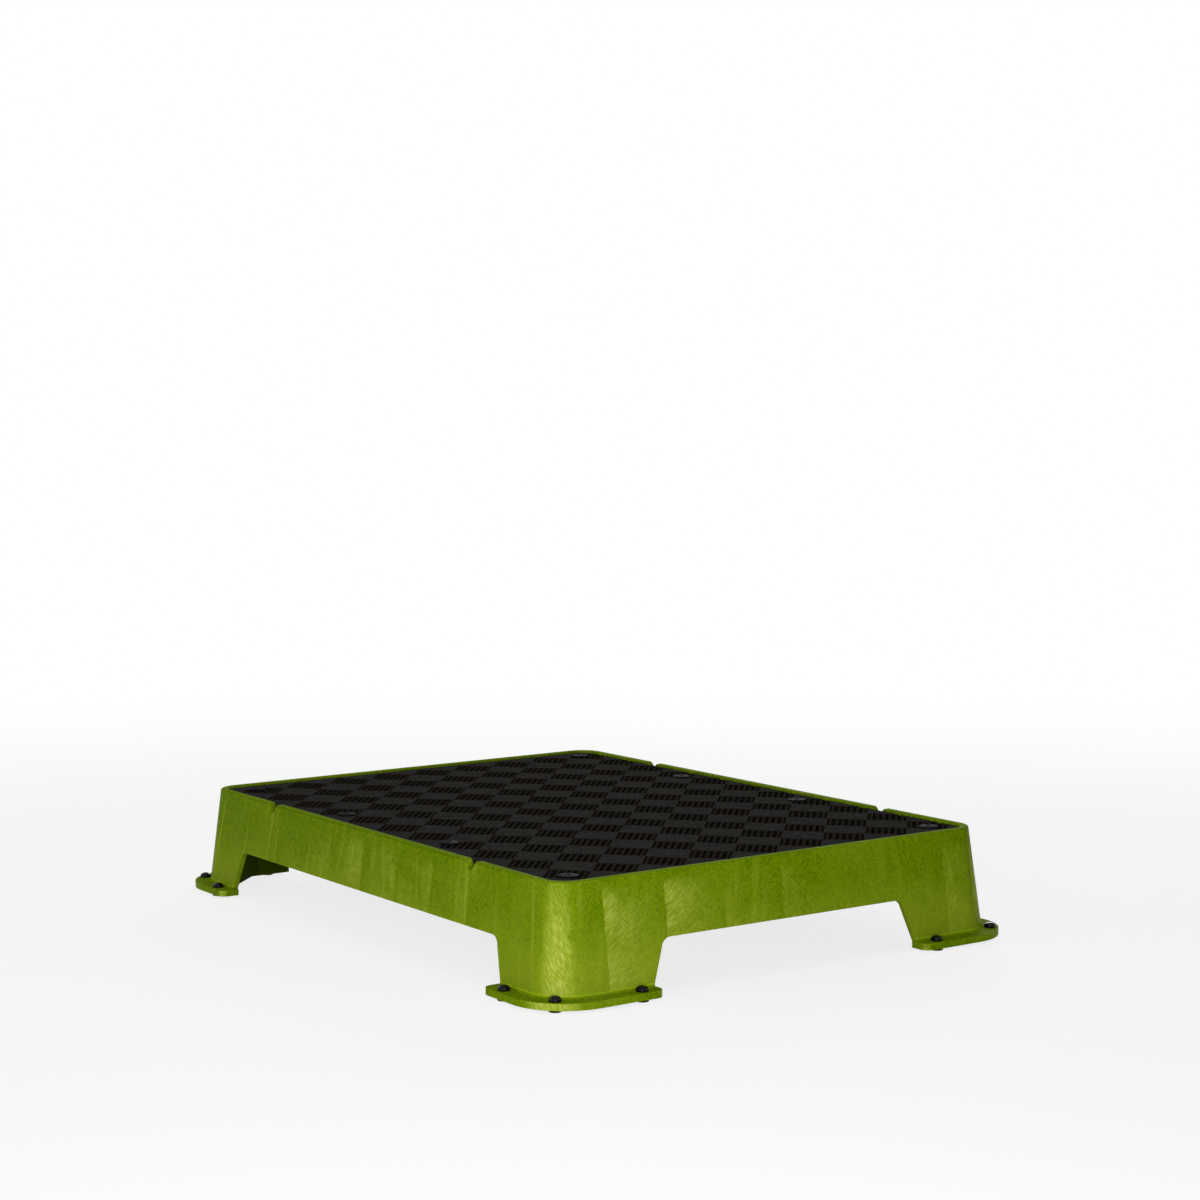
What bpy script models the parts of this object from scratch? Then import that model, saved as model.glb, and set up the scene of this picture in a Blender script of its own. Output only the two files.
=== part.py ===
# Dog place board: a low moulded plastic platform with a rubber mat in its well.
# Units are metres, +Z up. The origin is on the floor below the middle of the board.
# The short front wall faces -Y and a long side wall faces -X.

import math

import bmesh
import bpy
from mathutils import Vector

# Moulded board
BOARD_WIDTH = 0.508            # rim outside to outside, along X
BOARD_LENGTH = 0.7035          # rim outside to outside, along Y
BOARD_HEIGHT = 0.1118          # floor to the top of the rim
WALL_DRAFT = math.radians(7.5)  # the walls lean out on their way down
WALL_THICKNESS = 0.006
DECK_THICKNESS = 0.005
RIM_WIDTH = 0.008
RIM_CORNER_RADIUS = 0.027      # in plan, at the outside of the rim
RIM_OUTER_ROUND = 0.002
RIM_INNER_ROUND = 0.0015

# Gaps between the legs
GAP_HEIGHT = 0.051             # floor to the wall's lower edge
FRONT_LEG_WIDTH = 0.0963       # leg's width in a short wall, at the foot
SIDE_LEG_WIDTH = 0.0743        # leg's width in a long wall, at the foot
LEG_EDGE_SLOPE = math.radians(19.5)
GAP_CORNER_RADIUS = 0.011

# Lip round the outside of each foot
LIP_CLEARANCE = 0.0025         # floor to the underside of the lip
LIP_THICKNESS = 0.0065
LIP_REACH = 0.017              # from the wall's face to the lip's edge
FRONT_LIP_OVERRUN = 0.0015     # how far an arm runs past the leg's edge, in a short wall
SIDE_LIP_OVERRUN = 0.0055      # the same in a long wall
LIP_END_RADIUS = 0.010
LIP_EDGE_ROUND = 0.0017
LIP_ROOT = 0.001               # the lip starts this far inside the wall
LIP_FILLET = 0.0035            # between the wall and the lip
LIP_STEP = 0.0006              # how far the wall's foot stops above the lip's underside

# Notches in the rim of the long walls
NOTCH_INSET = 0.1475           # from the end of the board to a notch's middle
NOTCH_TOP_WIDTH = 0.020
NOTCH_FLOOR_WIDTH = 0.008
NOTCH_DEPTH = 0.009
NOTCH_SHOULDER_RADIUS = 0.005
NOTCH_FLOOR_RADIUS = 0.003
NOTCH_RUN_IN = 0.003           # how far a notch's cutter runs in past the rim
NOTCH_SKIM = 0.0002            # how far its shoulders start above the rim

# Stiffening below the deck
RIB_THICKNESS = 0.003
RIB_DEPTH = 0.020
RIBS = 8                       # across the board, evenly spaced
WEB_THICKNESS = 0.004
WEB_DISTANCE = 0.048           # from the rim's corner to the leg web, along a wall
WEB_LIFT = 0.004               # from the lip's underside to the web's lower edge

# Where the one moulding is cut apart, so that each piece keeps a simple shape
CUT_DROP = 0.001               # from the deck's underside down to the cut below it
CUT_GAP = 0.0003               # width of each cut

# Rubber mat
MAT_RECESS = 0.0025            # top of the rim to top of the mat
MAT_THICKNESS = 0.005
MAT_CLEARANCE = 0.0005         # all round, to the inside of the rim
TREAD_PITCH_X = 0.0547         # one ribbed diamond to the next
TREAD_PITCH_Y = 0.0614
TREAD_SHIFT_X = 0.0065         # from the board's middle to a ribbed diamond's
TREAD_SHIFT_Y = 0.0013
TREAD_LAND = 0.0015            # plain land kept round each ribbed diamond
TREAD_DEPTH = 0.001

# Rivets that hold the mat
RIVETS_PER_SIDE = 4
RIVET_INSET = 0.036            # from the rim's outside to a rivet's axis
RIVET_HEAD_RADIUS = 0.010
RIVET_HEAD_HEIGHT = 0.0018
RIVET_HEAD_EDGE = 0.0006       # height of the head at its edge
RIVET_DIMPLE_RADIUS = 0.003
RIVET_DIMPLE_DEPTH = 0.0009
RIVET_SHANK_RADIUS = 0.0032
RIVET_BARB_RADIUS = 0.0045
RIVET_BARB_HEIGHT = 0.0025
RIVET_TIP_RADIUS = 0.0015
RIVET_TIP_HEIGHT = 0.006

# Push-in bumpers that the board stands on
BUMPER_WALL_DISTANCE = 0.0084  # from the wall's face to a bumper's axis
BUMPER_END_INSET = 0.0195      # from the leg's edge to an outer bumper's axis
BUMPER_HEAD_RADIUS = 0.006
BUMPER_HEAD_HEIGHT = 0.005
BUMPER_HEAD_SIDE = 0.0013      # straight part of the head's side
BUMPER_NECK_RADIUS = 0.003
BUMPER_PAD_RADIUS = 0.0063
BUMPER_PAD_ROUND = 0.0006

# Clearances
SEAT_GAP = 0.0003              # between pieces that rest on each other
HOLE_CLEARANCE = 0.0003        # round a shank or a neck, in radius

# Smoothness
CORNER_STEPS = 8
ARC_STEPS = 4
TURNED_STEPS = 16
HOLE_SIDES = 12
LIP_EDGE_STEPS = 2
SHARP_EDGE = math.radians(40)   # the lip's edges that turn more than this are rounded
MERGE = 0.000001

# Heights worked out from the sizes above
LIP_BOTTOM = LIP_CLEARANCE
LIP_TOP = LIP_BOTTOM + LIP_THICKNESS
WALL_BOTTOM = LIP_BOTTOM + LIP_STEP
MAT_TOP = BOARD_HEIGHT - MAT_RECESS
MAT_BOTTOM = MAT_TOP - MAT_THICKNESS
DECK_TOP = MAT_BOTTOM - SEAT_GAP
DECK_BOTTOM = DECK_TOP - DECK_THICKNESS
CUT_HEIGHT = DECK_BOTTOM - CUT_DROP

CORNERS = {
    "front_left": (-1, -1),
    "front_right": (1, -1),
    "back_left": (-1, 1),
    "back_right": (1, 1),
}


def wall_offset(z):
    """How far the wall's outer face stands out from the rim's outside at height z."""
    return (BOARD_HEIGHT - z) * math.tan(WALL_DRAFT)


def inner_offset(z):
    """The same for the wall's inner face."""
    return wall_offset(z) - WALL_THICKNESS / math.cos(WALL_DRAFT)


def middle_offset(z):
    """The same for the middle of the wall's thickness, where the leg webs end."""
    return (wall_offset(z) + inner_offset(z)) / 2


def leg_width(foot_width, z):
    """A leg's width in its wall at height z, from the rim's corner."""
    return foot_width + (z - LIP_TOP) * math.tan(LEG_EDGE_SLOPE)


def from_corner(signs, inward_x, inward_y):
    """Plan position given as distances inward from the rim's corner."""
    sign_x, sign_y = signs
    return (sign_x * (BOARD_WIDTH / 2 - inward_x), sign_y * (BOARD_LENGTH / 2 - inward_y))


def remove_everything():
    for existing in list(bpy.data.objects):
        bpy.data.objects.remove(existing, do_unlink=True)


def new_collection(name):
    collection = bpy.data.collections.new(name)
    bpy.context.scene.collection.children.link(collection)
    return collection


def plastic(name, colour, roughness):
    material = bpy.data.materials.new(name)
    material.use_nodes = True
    shader = material.node_tree.nodes["Principled BSDF"]
    shader.inputs["Base Color"].default_value = (*colour, 1)
    shader.inputs["Roughness"].default_value = roughness
    shader.inputs["Metallic"].default_value = 0
    return material


def add_object(name, mesh, collection):
    created = bpy.data.objects.new(name, mesh)
    collection.objects.link(created)
    return created


def add_cutter(name, mesh, collection):
    cutter = add_object(name, mesh, collection)
    cutter.hide_render = True
    cutter.display_type = "WIRE"
    return cutter


def mesh_from(bm, name):
    bmesh.ops.recalc_face_normals(bm, faces=bm.faces)
    mesh = bpy.data.meshes.new(name)
    bm.to_mesh(mesh)
    bm.free()
    return mesh


def rounded_outline(corners, steps):
    """Outline through corners (x, y, radius), each rounded with its own arc."""
    outline = []
    for index, (x, y, radius) in enumerate(corners):
        corner = Vector((x, y))
        if radius == 0:
            outline.append(corner)
            continue
        following = corners[(index + 1) % len(corners)]
        back = (Vector(corners[index - 1][:2]) - corner).normalized()
        ahead = (Vector(following[:2]) - corner).normalized()
        half_angle = back.angle(ahead) / 2
        centre = corner + (back + ahead).normalized() * radius / math.sin(half_angle)
        start = corner + back * radius / math.tan(half_angle) - centre
        sweep = math.copysign(math.pi - 2 * half_angle, -back.cross(ahead))
        for step in range(steps + 1):
            angle = sweep * step / steps
            spoke_x = start.x * math.cos(angle) - start.y * math.sin(angle)
            spoke_y = start.x * math.sin(angle) + start.y * math.cos(angle)
            outline.append(centre + Vector((spoke_x, spoke_y)))
    return outline


def prism_mesh(name, outlines, depth):
    """Flat outlines in the XY plane, each extruded by half the depth up and down."""
    curve = bpy.data.curves.new(name, "CURVE")
    curve.dimensions = "2D"
    curve.fill_mode = "BOTH"
    curve.extrude = depth / 2
    for outline in outlines:
        spline = curve.splines.new("POLY")
        spline.points.add(len(outline) - 1)
        for point, (x, y) in zip(spline.points, outline):
            point.co = (x, y, 0, 1)
        spline.use_cyclic_u = True
    drawn = bpy.data.objects.new(name, curve)
    bpy.context.scene.collection.objects.link(drawn)
    evaluated = drawn.evaluated_get(bpy.context.evaluated_depsgraph_get())
    filled = bpy.data.meshes.new_from_object(evaluated)
    bpy.data.objects.remove(drawn)
    bm = bmesh.new()
    bm.from_mesh(filled)
    bpy.data.meshes.remove(filled)
    bmesh.ops.remove_doubles(bm, verts=bm.verts, dist=MERGE)
    return mesh_from(bm, name)


def rim_loop(offset, z):
    """The rim's outer rectangle with round corners, moved out by an offset, at height z."""
    radius = RIM_CORNER_RADIUS + offset
    centre_x = BOARD_WIDTH / 2 - RIM_CORNER_RADIUS
    centre_y = BOARD_LENGTH / 2 - RIM_CORNER_RADIUS
    loop = []
    for quarter, (side_x, side_y) in enumerate([(1, 1), (-1, 1), (-1, -1), (1, -1)]):
        for step in range(CORNER_STEPS + 1):
            angle = math.pi / 2 * (quarter + step / CORNER_STEPS)
            x = side_x * centre_x + radius * math.cos(angle)
            y = side_y * centre_y + radius * math.sin(angle)
            loop.append((x, y, z))
    return loop


def loft_mesh(name, sections):
    """Closed solid through rim-shaped loops, one for each (offset, height)."""
    bm = bmesh.new()
    loops = []
    for offset, z in sections:
        loops.append([bm.verts.new(point) for point in rim_loop(offset, z)])
    for lower, upper in zip(loops, loops[1:]):
        for index in range(len(lower)):
            following = (index + 1) % len(lower)
            bm.faces.new((lower[index], lower[following], upper[following], upper[index]))
    bm.faces.new(loops[0])
    bm.faces.new(loops[-1])
    return mesh_from(bm, name)


def arc_points(centre_offset, centre_z, radius, start, end):
    """Points (offset, height) on an arc, angles in degrees from straight outward."""
    points = []
    for step in range(ARC_STEPS + 1):
        angle = math.radians(start + (end - start) * step / ARC_STEPS)
        points.append((centre_offset + radius * math.cos(angle), centre_z + radius * math.sin(angle)))
    return points


def board_sections():
    """The board's section from the deck's underside, round the wall and rim, to the deck's top."""
    sections = [(inner_offset(DECK_BOTTOM), DECK_BOTTOM)]
    sections.append((inner_offset(WALL_BOTTOM), WALL_BOTTOM))
    flare = wall_offset(LIP_TOP + LIP_FILLET) + LIP_FILLET
    sections.append((flare, WALL_BOTTOM))
    sections += arc_points(flare, LIP_TOP + LIP_FILLET, LIP_FILLET, 270, 180)
    shoulder = BOARD_HEIGHT - RIM_OUTER_ROUND
    sections += arc_points(wall_offset(shoulder) - RIM_OUTER_ROUND, shoulder, RIM_OUTER_ROUND, 0, 90)
    inner_centre = -RIM_WIDTH + RIM_INNER_ROUND
    sections += arc_points(inner_centre, BOARD_HEIGHT - RIM_INNER_ROUND, RIM_INNER_ROUND, 90, 180)
    sections.append((-RIM_WIDTH, DECK_TOP))
    return sections


def gap_outline(half_length, foot_width):
    """Gap between two legs, seen square to the wall: wider at the floor, with round upper corners."""
    below = -GAP_HEIGHT
    half_top = half_length - leg_width(foot_width, GAP_HEIGHT)
    half_bottom = half_length - leg_width(foot_width, below)
    corners = [
        (-half_bottom, below, 0),
        (half_bottom, below, 0),
        (half_top, GAP_HEIGHT, GAP_CORNER_RADIUS),
        (-half_top, GAP_HEIGHT, GAP_CORNER_RADIUS),
    ]
    return rounded_outline(corners, ARC_STEPS)


def gap_cutters(collection):
    """One prism through both short walls and one through both long walls."""
    reach = 2 * (wall_offset(0) + LIP_REACH)
    front_mesh = prism_mesh("front_gap", [gap_outline(BOARD_WIDTH / 2, FRONT_LEG_WIDTH)], BOARD_LENGTH + reach)
    front = add_cutter("front_gap_cutter", front_mesh, collection)
    front.rotation_euler = (math.pi / 2, 0, 0)
    side_mesh = prism_mesh("side_gap", [gap_outline(BOARD_LENGTH / 2, SIDE_LEG_WIDTH)], BOARD_WIDTH + reach)
    side = add_cutter("side_gap_cutter", side_mesh, collection)
    side.rotation_euler = (math.pi / 2, 0, math.pi / 2)
    return [front, side]


def lip_outline(signs):
    """Plan of one foot's lip: an L that follows the wall's round corner."""
    outer = wall_offset(LIP_TOP) + LIP_REACH
    inner = inner_offset(LIP_BOTTOM) + LIP_ROOT
    front_arm = FRONT_LEG_WIDTH + FRONT_LIP_OVERRUN
    side_arm = SIDE_LEG_WIDTH + SIDE_LIP_OVERRUN
    corners = [
        (-outer, side_arm, LIP_END_RADIUS),
        (-outer, -outer, RIM_CORNER_RADIUS + outer),
        (front_arm, -outer, LIP_END_RADIUS),
        (front_arm, -inner, 0),
        (-inner, -inner, RIM_CORNER_RADIUS + inner),
        (-inner, side_arm, 0),
    ]
    return [from_corner(signs, x, y) for x, y in rounded_outline(corners, CORNER_STEPS)]


def foot_lips(collection):
    outlines = [lip_outline(signs) for signs in CORNERS.values()]
    lips = add_cutter("foot_lips", prism_mesh("foot_lips", outlines, LIP_THICKNESS), collection)
    lips.location.z = LIP_BOTTOM + LIP_THICKNESS / 2
    bevel = lips.modifiers.new("edge_round", "BEVEL")
    bevel.width = LIP_EDGE_ROUND
    bevel.segments = LIP_EDGE_STEPS
    bevel.limit_method = "ANGLE"
    bevel.angle_limit = SHARP_EDGE
    return lips


def plates(name, quads, thickness, collection):
    """Flat plates: each open quad is given its thickness, half on each side."""
    bm = bmesh.new()
    for quad in quads:
        bm.faces.new([bm.verts.new(point) for point in quad])
    mesh = bpy.data.meshes.new(name)
    bm.to_mesh(mesh)
    bm.free()
    plate = add_object(name, mesh, collection)
    solidify = plate.modifiers.new("thickness", "SOLIDIFY")
    solidify.thickness = thickness
    solidify.offset = 0
    return plate


def make_ribs(parts, material):
    """Ribs across the board below the deck, from one long wall to the other."""
    bottom = DECK_BOTTOM - RIB_DEPTH
    top = DECK_BOTTOM - CUT_GAP
    half_low = BOARD_WIDTH / 2 + inner_offset(bottom) - CUT_GAP
    half_top = BOARD_WIDTH / 2 + inner_offset(top) - CUT_GAP
    spacing = BOARD_LENGTH / (RIBS + 1)
    for number in range(1, RIBS + 1):
        y = number * spacing - BOARD_LENGTH / 2
        lower = [(-half_low, y, bottom), (half_low, y, bottom)]
        upper = [(half_top, y, top), (-half_top, y, top)]
        rib = plates("deck_rib_" + str(number), [lower + upper], RIB_THICKNESS, parts)
        rib.data.materials.append(material)


def leg_webs(collection):
    """An upright plate across the inside of each leg's corner."""
    top = (DECK_BOTTOM + DECK_TOP) / 2
    bottom = LIP_BOTTOM + WEB_LIFT
    quads = []
    for signs in CORNERS.values():
        quad = []
        for z, order in ((bottom, 1), (top, -1)):
            wall = -middle_offset(z)
            ends = [(wall, WEB_DISTANCE - wall), (WEB_DISTANCE - wall, wall)]
            for inward_x, inward_y in ends[::order]:
                quad.append((*from_corner(signs, inward_x, inward_y), z))
        quads.append(quad)
    webs = plates("leg_webs", quads, WEB_THICKNESS, collection)
    webs.hide_render = True
    webs.display_type = "WIRE"
    return webs


def notch_outline(y):
    """A rim notch seen along X: sloping sides, round shoulders and a round floor."""
    above = BOARD_HEIGHT + NOTCH_DEPTH
    skim = BOARD_HEIGHT + NOTCH_SKIM
    floor = BOARD_HEIGHT - NOTCH_DEPTH
    far = NOTCH_TOP_WIDTH / 2 + 2 * NOTCH_SHOULDER_RADIUS
    half_top = NOTCH_TOP_WIDTH / 2
    half_floor = NOTCH_FLOOR_WIDTH / 2
    corners = [
        (y - far, above, 0),
        (y - far, skim, 0),
        (y - half_top, skim, NOTCH_SHOULDER_RADIUS),
        (y - half_floor, floor, NOTCH_FLOOR_RADIUS),
        (y + half_floor, floor, NOTCH_FLOOR_RADIUS),
        (y + half_top, skim, NOTCH_SHOULDER_RADIUS),
        (y + far, skim, 0),
        (y + far, above, 0),
    ]
    return rounded_outline(corners, ARC_STEPS)


def notch_positions():
    return [sign * (BOARD_LENGTH / 2 - NOTCH_INSET) for sign in (-1, 1)]


def notch_cutters(collection):
    outlines = [notch_outline(y) for y in notch_positions()]
    outside = BOARD_WIDTH / 2 + wall_offset(BOARD_HEIGHT - NOTCH_DEPTH) + NOTCH_RUN_IN
    inside = BOARD_WIDTH / 2 - RIM_WIDTH - NOTCH_RUN_IN
    cutters = []
    for name, sign in (("left", -1), ("right", 1)):
        mesh = prism_mesh(name + "_notches", outlines, outside - inside)
        cutter = add_cutter(name + "_notch_cutter", mesh, collection)
        cutter.rotation_euler = (math.pi / 2, 0, math.pi / 2)
        cutter.location.x = sign * (outside + inside) / 2
        cutters.append(cutter)
    return cutters


def hole_cutters(name, places, radius, bottom, top, collection):
    """Round cutters at plan positions, from one height to another."""
    bm = bmesh.new()
    for x, y in places:
        made = bmesh.ops.create_cone(
            bm, cap_ends=True, segments=HOLE_SIDES, radius1=radius, radius2=radius, depth=top - bottom
        )
        bmesh.ops.translate(bm, verts=made["verts"], vec=(x, y, (top + bottom) / 2))
    return add_cutter(name, mesh_from(bm, name), collection)


def bumper_places():
    """Name and plan position of each bumper: three in every foot's lip."""
    straight = wall_offset(LIP_TOP) + BUMPER_WALL_DISTANCE
    arc = RIM_CORNER_RADIUS + straight
    corner = RIM_CORNER_RADIUS - arc / math.sqrt(2)
    end_place = FRONT_LEG_WIDTH - BUMPER_END_INSET
    side_place = SIDE_LEG_WIDTH - BUMPER_END_INSET
    places = {}
    for foot, signs in CORNERS.items():
        places["bumper_" + foot + "_corner"] = from_corner(signs, corner, corner)
        places["bumper_" + foot + "_end"] = from_corner(signs, end_place, -straight)
        places["bumper_" + foot + "_side"] = from_corner(signs, -straight, side_place)
    return places


def rivet_places():
    """Name and plan position of each rivet: one row along each long side."""
    x = BOARD_WIDTH / 2 - RIVET_INSET
    first = BOARD_LENGTH / 2 - RIVET_INSET
    places = {}
    for side, sign in (("left", -1), ("right", 1)):
        for number in range(RIVETS_PER_SIDE):
            y = first * (2 * number / (RIVETS_PER_SIDE - 1) - 1)
            places["mat_rivet_" + side + "_" + str(number + 1)] = (sign * x, y)
    return places


def boolean(target, operation, other):
    modifier = target.modifiers.new(other.name, "BOOLEAN")
    modifier.operation = operation
    modifier.object = other
    modifier.solver = "EXACT"


def make_moulding(cutters):
    """The whole moulding in one: deck, rim, walls, legs with their webs, and lips."""
    moulding = add_cutter("moulding", loft_mesh("moulding", board_sections()), cutters)
    for cutter in gap_cutters(cutters):
        boolean(moulding, "DIFFERENCE", cutter)
    boolean(moulding, "UNION", foot_lips(cutters))
    boolean(moulding, "UNION", leg_webs(cutters))
    for cutter in notch_cutters(cutters):
        boolean(moulding, "DIFFERENCE", cutter)
    neck_hole = BUMPER_NECK_RADIUS + HOLE_CLEARANCE
    necks = hole_cutters("neck_holes", bumper_places().values(), neck_hole, 0, 2 * LIP_TOP, cutters)
    boolean(moulding, "DIFFERENCE", necks)
    shank_hole = RIVET_SHANK_RADIUS + HOLE_CLEARANCE
    above = DECK_TOP + DECK_THICKNESS
    below = DECK_BOTTOM - DECK_THICKNESS
    shanks = hole_cutters("deck_holes", rivet_places().values(), shank_hole, below, above, cutters)
    boolean(moulding, "DIFFERENCE", shanks)
    return moulding


def moulding_regions():
    """Name and box (low corner, high corner) of each piece that the moulding is cut into."""
    side = CUT_GAP / 2
    leg_x = BOARD_WIDTH / 2 - leg_width(FRONT_LEG_WIDTH, GAP_HEIGHT) - GAP_CORNER_RADIUS
    leg_y = BOARD_LENGTH / 2 - leg_width(SIDE_LEG_WIDTH, GAP_HEIGHT) - GAP_CORNER_RADIUS
    wall_x = leg_x - side
    wall_y = leg_y - side
    floor = -BOARD_HEIGHT
    top = CUT_HEIGHT - side
    regions = {
        "deck": ((-BOARD_WIDTH, -BOARD_LENGTH, CUT_HEIGHT + side), (BOARD_WIDTH, BOARD_LENGTH, 2 * BOARD_HEIGHT)),
        "wall_front": ((-wall_x, -BOARD_LENGTH, floor), (wall_x, 0, top)),
        "wall_back": ((-wall_x, 0, floor), (wall_x, BOARD_LENGTH, top)),
        "wall_left": ((-BOARD_WIDTH, -wall_y, floor), (0, wall_y, top)),
        "wall_right": ((0, -wall_y, floor), (BOARD_WIDTH, wall_y, top)),
    }
    for foot, (sign_x, sign_y) in CORNERS.items():
        low_x, high_x = sorted((sign_x * (leg_x + side), sign_x * BOARD_WIDTH))
        low_y, high_y = sorted((sign_y * (leg_y + side), sign_y * BOARD_LENGTH))
        regions["leg_" + foot] = ((low_x, low_y, floor), (high_x, high_y, top))
    return regions


def box_cutter(name, low, high, collection):
    outline = [(low[0], low[1]), (high[0], low[1]), (high[0], high[1]), (low[0], high[1])]
    cutter = add_cutter(name, prism_mesh(name, [outline], high[2] - low[2]), collection)
    cutter.location.z = (low[2] + high[2]) / 2
    return cutter


def make_board(parts, cutters, material):
    """Deck, walls and legs: each is the moulding inside its own region."""
    moulding = make_moulding(cutters)
    whole = moulding.evaluated_get(bpy.context.evaluated_depsgraph_get())
    for name, (low, high) in moulding_regions().items():
        piece = add_object(name, bpy.data.meshes.new_from_object(whole), parts)
        piece.data.materials.append(material)
        boolean(piece, "INTERSECT", box_cutter(name + "_region", low, high, cutters))


def tread_diamonds():
    """Outlines of the sunk diamonds, in alternate rows, over the whole mat."""
    half_x = TREAD_PITCH_X / 2 - TREAD_LAND
    half_y = TREAD_PITCH_Y / 2 - TREAD_LAND
    columns = math.ceil(BOARD_WIDTH / TREAD_PITCH_X)
    rows = math.ceil(BOARD_LENGTH / TREAD_PITCH_Y)
    diamonds = []
    for column in range(-columns, columns + 1):
        for row in range(-rows, rows + 1):
            x = TREAD_SHIFT_X + column * TREAD_PITCH_X
            y = TREAD_SHIFT_Y + row * TREAD_PITCH_Y
            over_x = abs(x) - half_x > BOARD_WIDTH / 2
            over_y = abs(y) - half_y > BOARD_LENGTH / 2
            if over_x or over_y:
                continue
            diamonds.append([(x - half_x, y), (x, y - half_y), (x + half_x, y), (x, y + half_y)])
    return diamonds


def make_mat(parts, cutters, material):
    edge = -RIM_WIDTH - MAT_CLEARANCE
    mat = add_object("mat", loft_mesh("mat", [(edge, MAT_BOTTOM), (edge, MAT_TOP)]), parts)
    tread = add_cutter("tread_cutter", prism_mesh("tread", tread_diamonds(), 2 * TREAD_DEPTH), cutters)
    tread.location.z = MAT_TOP
    boolean(mat, "DIFFERENCE", tread)
    hole = RIVET_SHANK_RADIUS + HOLE_CLEARANCE
    below = MAT_BOTTOM - MAT_THICKNESS
    above = MAT_TOP + MAT_THICKNESS
    holes = hole_cutters("mat_holes", rivet_places().values(), hole, below, above, cutters)
    boolean(mat, "DIFFERENCE", holes)
    mat.data.materials.append(material)
    return mat


def turned_mesh(name, profile):
    """Half section (radius, height), from the top of the axis round to its bottom."""
    bm = bmesh.new()
    verts = [bm.verts.new((radius, 0, z)) for radius, z in profile]
    for upper, lower in zip(verts, verts[1:]):
        bm.edges.new((upper, lower))
    mesh = bpy.data.meshes.new(name)
    bm.to_mesh(mesh)
    bm.free()
    return mesh


def turned_copies(places, mesh, parts):
    """A turned piece at each place, all from one half section."""
    for name, (x, y) in places.items():
        piece = add_object(name, mesh, parts)
        piece.location = (x, y, 0)
        screw = piece.modifiers.new("turn", "SCREW")
        screw.axis = "Z"
        screw.angle = 2 * math.pi
        screw.steps = TURNED_STEPS
        screw.render_steps = TURNED_STEPS
        screw.use_merge_vertices = True
        screw.merge_threshold = MERGE
        screw.use_smooth_shade = True


def bumper_profile():
    """Dome above the lip, neck through it and pad between the lip and the floor."""
    head_bottom = LIP_TOP + SEAT_GAP
    dome_bottom = head_bottom + BUMPER_HEAD_SIDE
    dome_height = BUMPER_HEAD_HEIGHT - BUMPER_HEAD_SIDE
    pad_top = LIP_BOTTOM - SEAT_GAP
    profile = []
    for step in range(ARC_STEPS + 1):
        angle = math.pi / 2 * step / ARC_STEPS
        profile.append((BUMPER_HEAD_RADIUS * math.sin(angle), dome_bottom + dome_height * math.cos(angle)))
    profile.append((BUMPER_HEAD_RADIUS, head_bottom))
    profile.append((BUMPER_NECK_RADIUS, head_bottom))
    profile.append((BUMPER_NECK_RADIUS, pad_top))
    profile.append((BUMPER_PAD_RADIUS, pad_top))
    profile.append((BUMPER_PAD_RADIUS, BUMPER_PAD_ROUND))
    profile.append((BUMPER_PAD_RADIUS - BUMPER_PAD_ROUND, 0))
    profile.append((0, 0))
    return profile


def make_bumpers(parts, material):
    mesh = turned_mesh("bumper", bumper_profile())
    mesh.materials.append(material)
    turned_copies(bumper_places(), mesh, parts)


def rivet_profile():
    """Low domed head with a dimple, a shank through mat and deck, and a barb below the deck."""
    head_bottom = MAT_TOP + SEAT_GAP
    head_top = head_bottom + RIVET_HEAD_HEIGHT
    barb_top = DECK_BOTTOM - SEAT_GAP
    profile = [(0, head_top - RIVET_DIMPLE_DEPTH), (RIVET_DIMPLE_RADIUS, head_top)]
    for step in range(1, ARC_STEPS):
        angle = math.pi / 2 * step / ARC_STEPS
        radius = RIVET_DIMPLE_RADIUS + (RIVET_HEAD_RADIUS - RIVET_DIMPLE_RADIUS) * math.sin(angle)
        fall = (RIVET_HEAD_HEIGHT - RIVET_HEAD_EDGE) * (1 - math.cos(angle))
        profile.append((radius, head_top - fall))
    profile.append((RIVET_HEAD_RADIUS, head_bottom + RIVET_HEAD_EDGE))
    profile.append((RIVET_HEAD_RADIUS, head_bottom))
    profile.append((RIVET_SHANK_RADIUS, head_bottom))
    profile.append((RIVET_SHANK_RADIUS, barb_top))
    profile.append((RIVET_BARB_RADIUS, barb_top))
    profile.append((RIVET_BARB_RADIUS, barb_top - RIVET_BARB_HEIGHT))
    profile.append((RIVET_TIP_RADIUS, barb_top - RIVET_BARB_HEIGHT - RIVET_TIP_HEIGHT))
    profile.append((0, barb_top - RIVET_BARB_HEIGHT - RIVET_TIP_HEIGHT))
    return profile


def make_rivets(parts, material):
    mesh = turned_mesh("mat_rivet", rivet_profile())
    mesh.materials.append(material)
    turned_copies(rivet_places(), mesh, parts)


def build():
    remove_everything()
    parts = new_collection("dog_place_board")
    cutters = new_collection("cutters")
    green = plastic("green_plastic", (0.133, 0.205, 0.001), 0.42)
    black_mat = plastic("mat_rubber", (0.011, 0.010, 0.008), 0.6)
    black_rubber = plastic("bumper_rubber", (0.006, 0.006, 0.006), 0.2)
    black_plastic = plastic("rivet_plastic", (0.012, 0.012, 0.012), 0.35)
    make_board(parts, cutters, green)
    make_ribs(parts, green)
    make_mat(parts, cutters, black_mat)
    make_rivets(parts, black_plastic)
    make_bumpers(parts, black_rubber)


build()
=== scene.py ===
# Dog place board: the looks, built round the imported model.
# Metres, +Z up; the origin is on the floor below the middle of the board.
# The short front wall faces -Y and a long wall faces -X.

import math
from functools import partial
from types import SimpleNamespace

import bmesh
import bpy
from mathutils import Matrix, Vector


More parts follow.
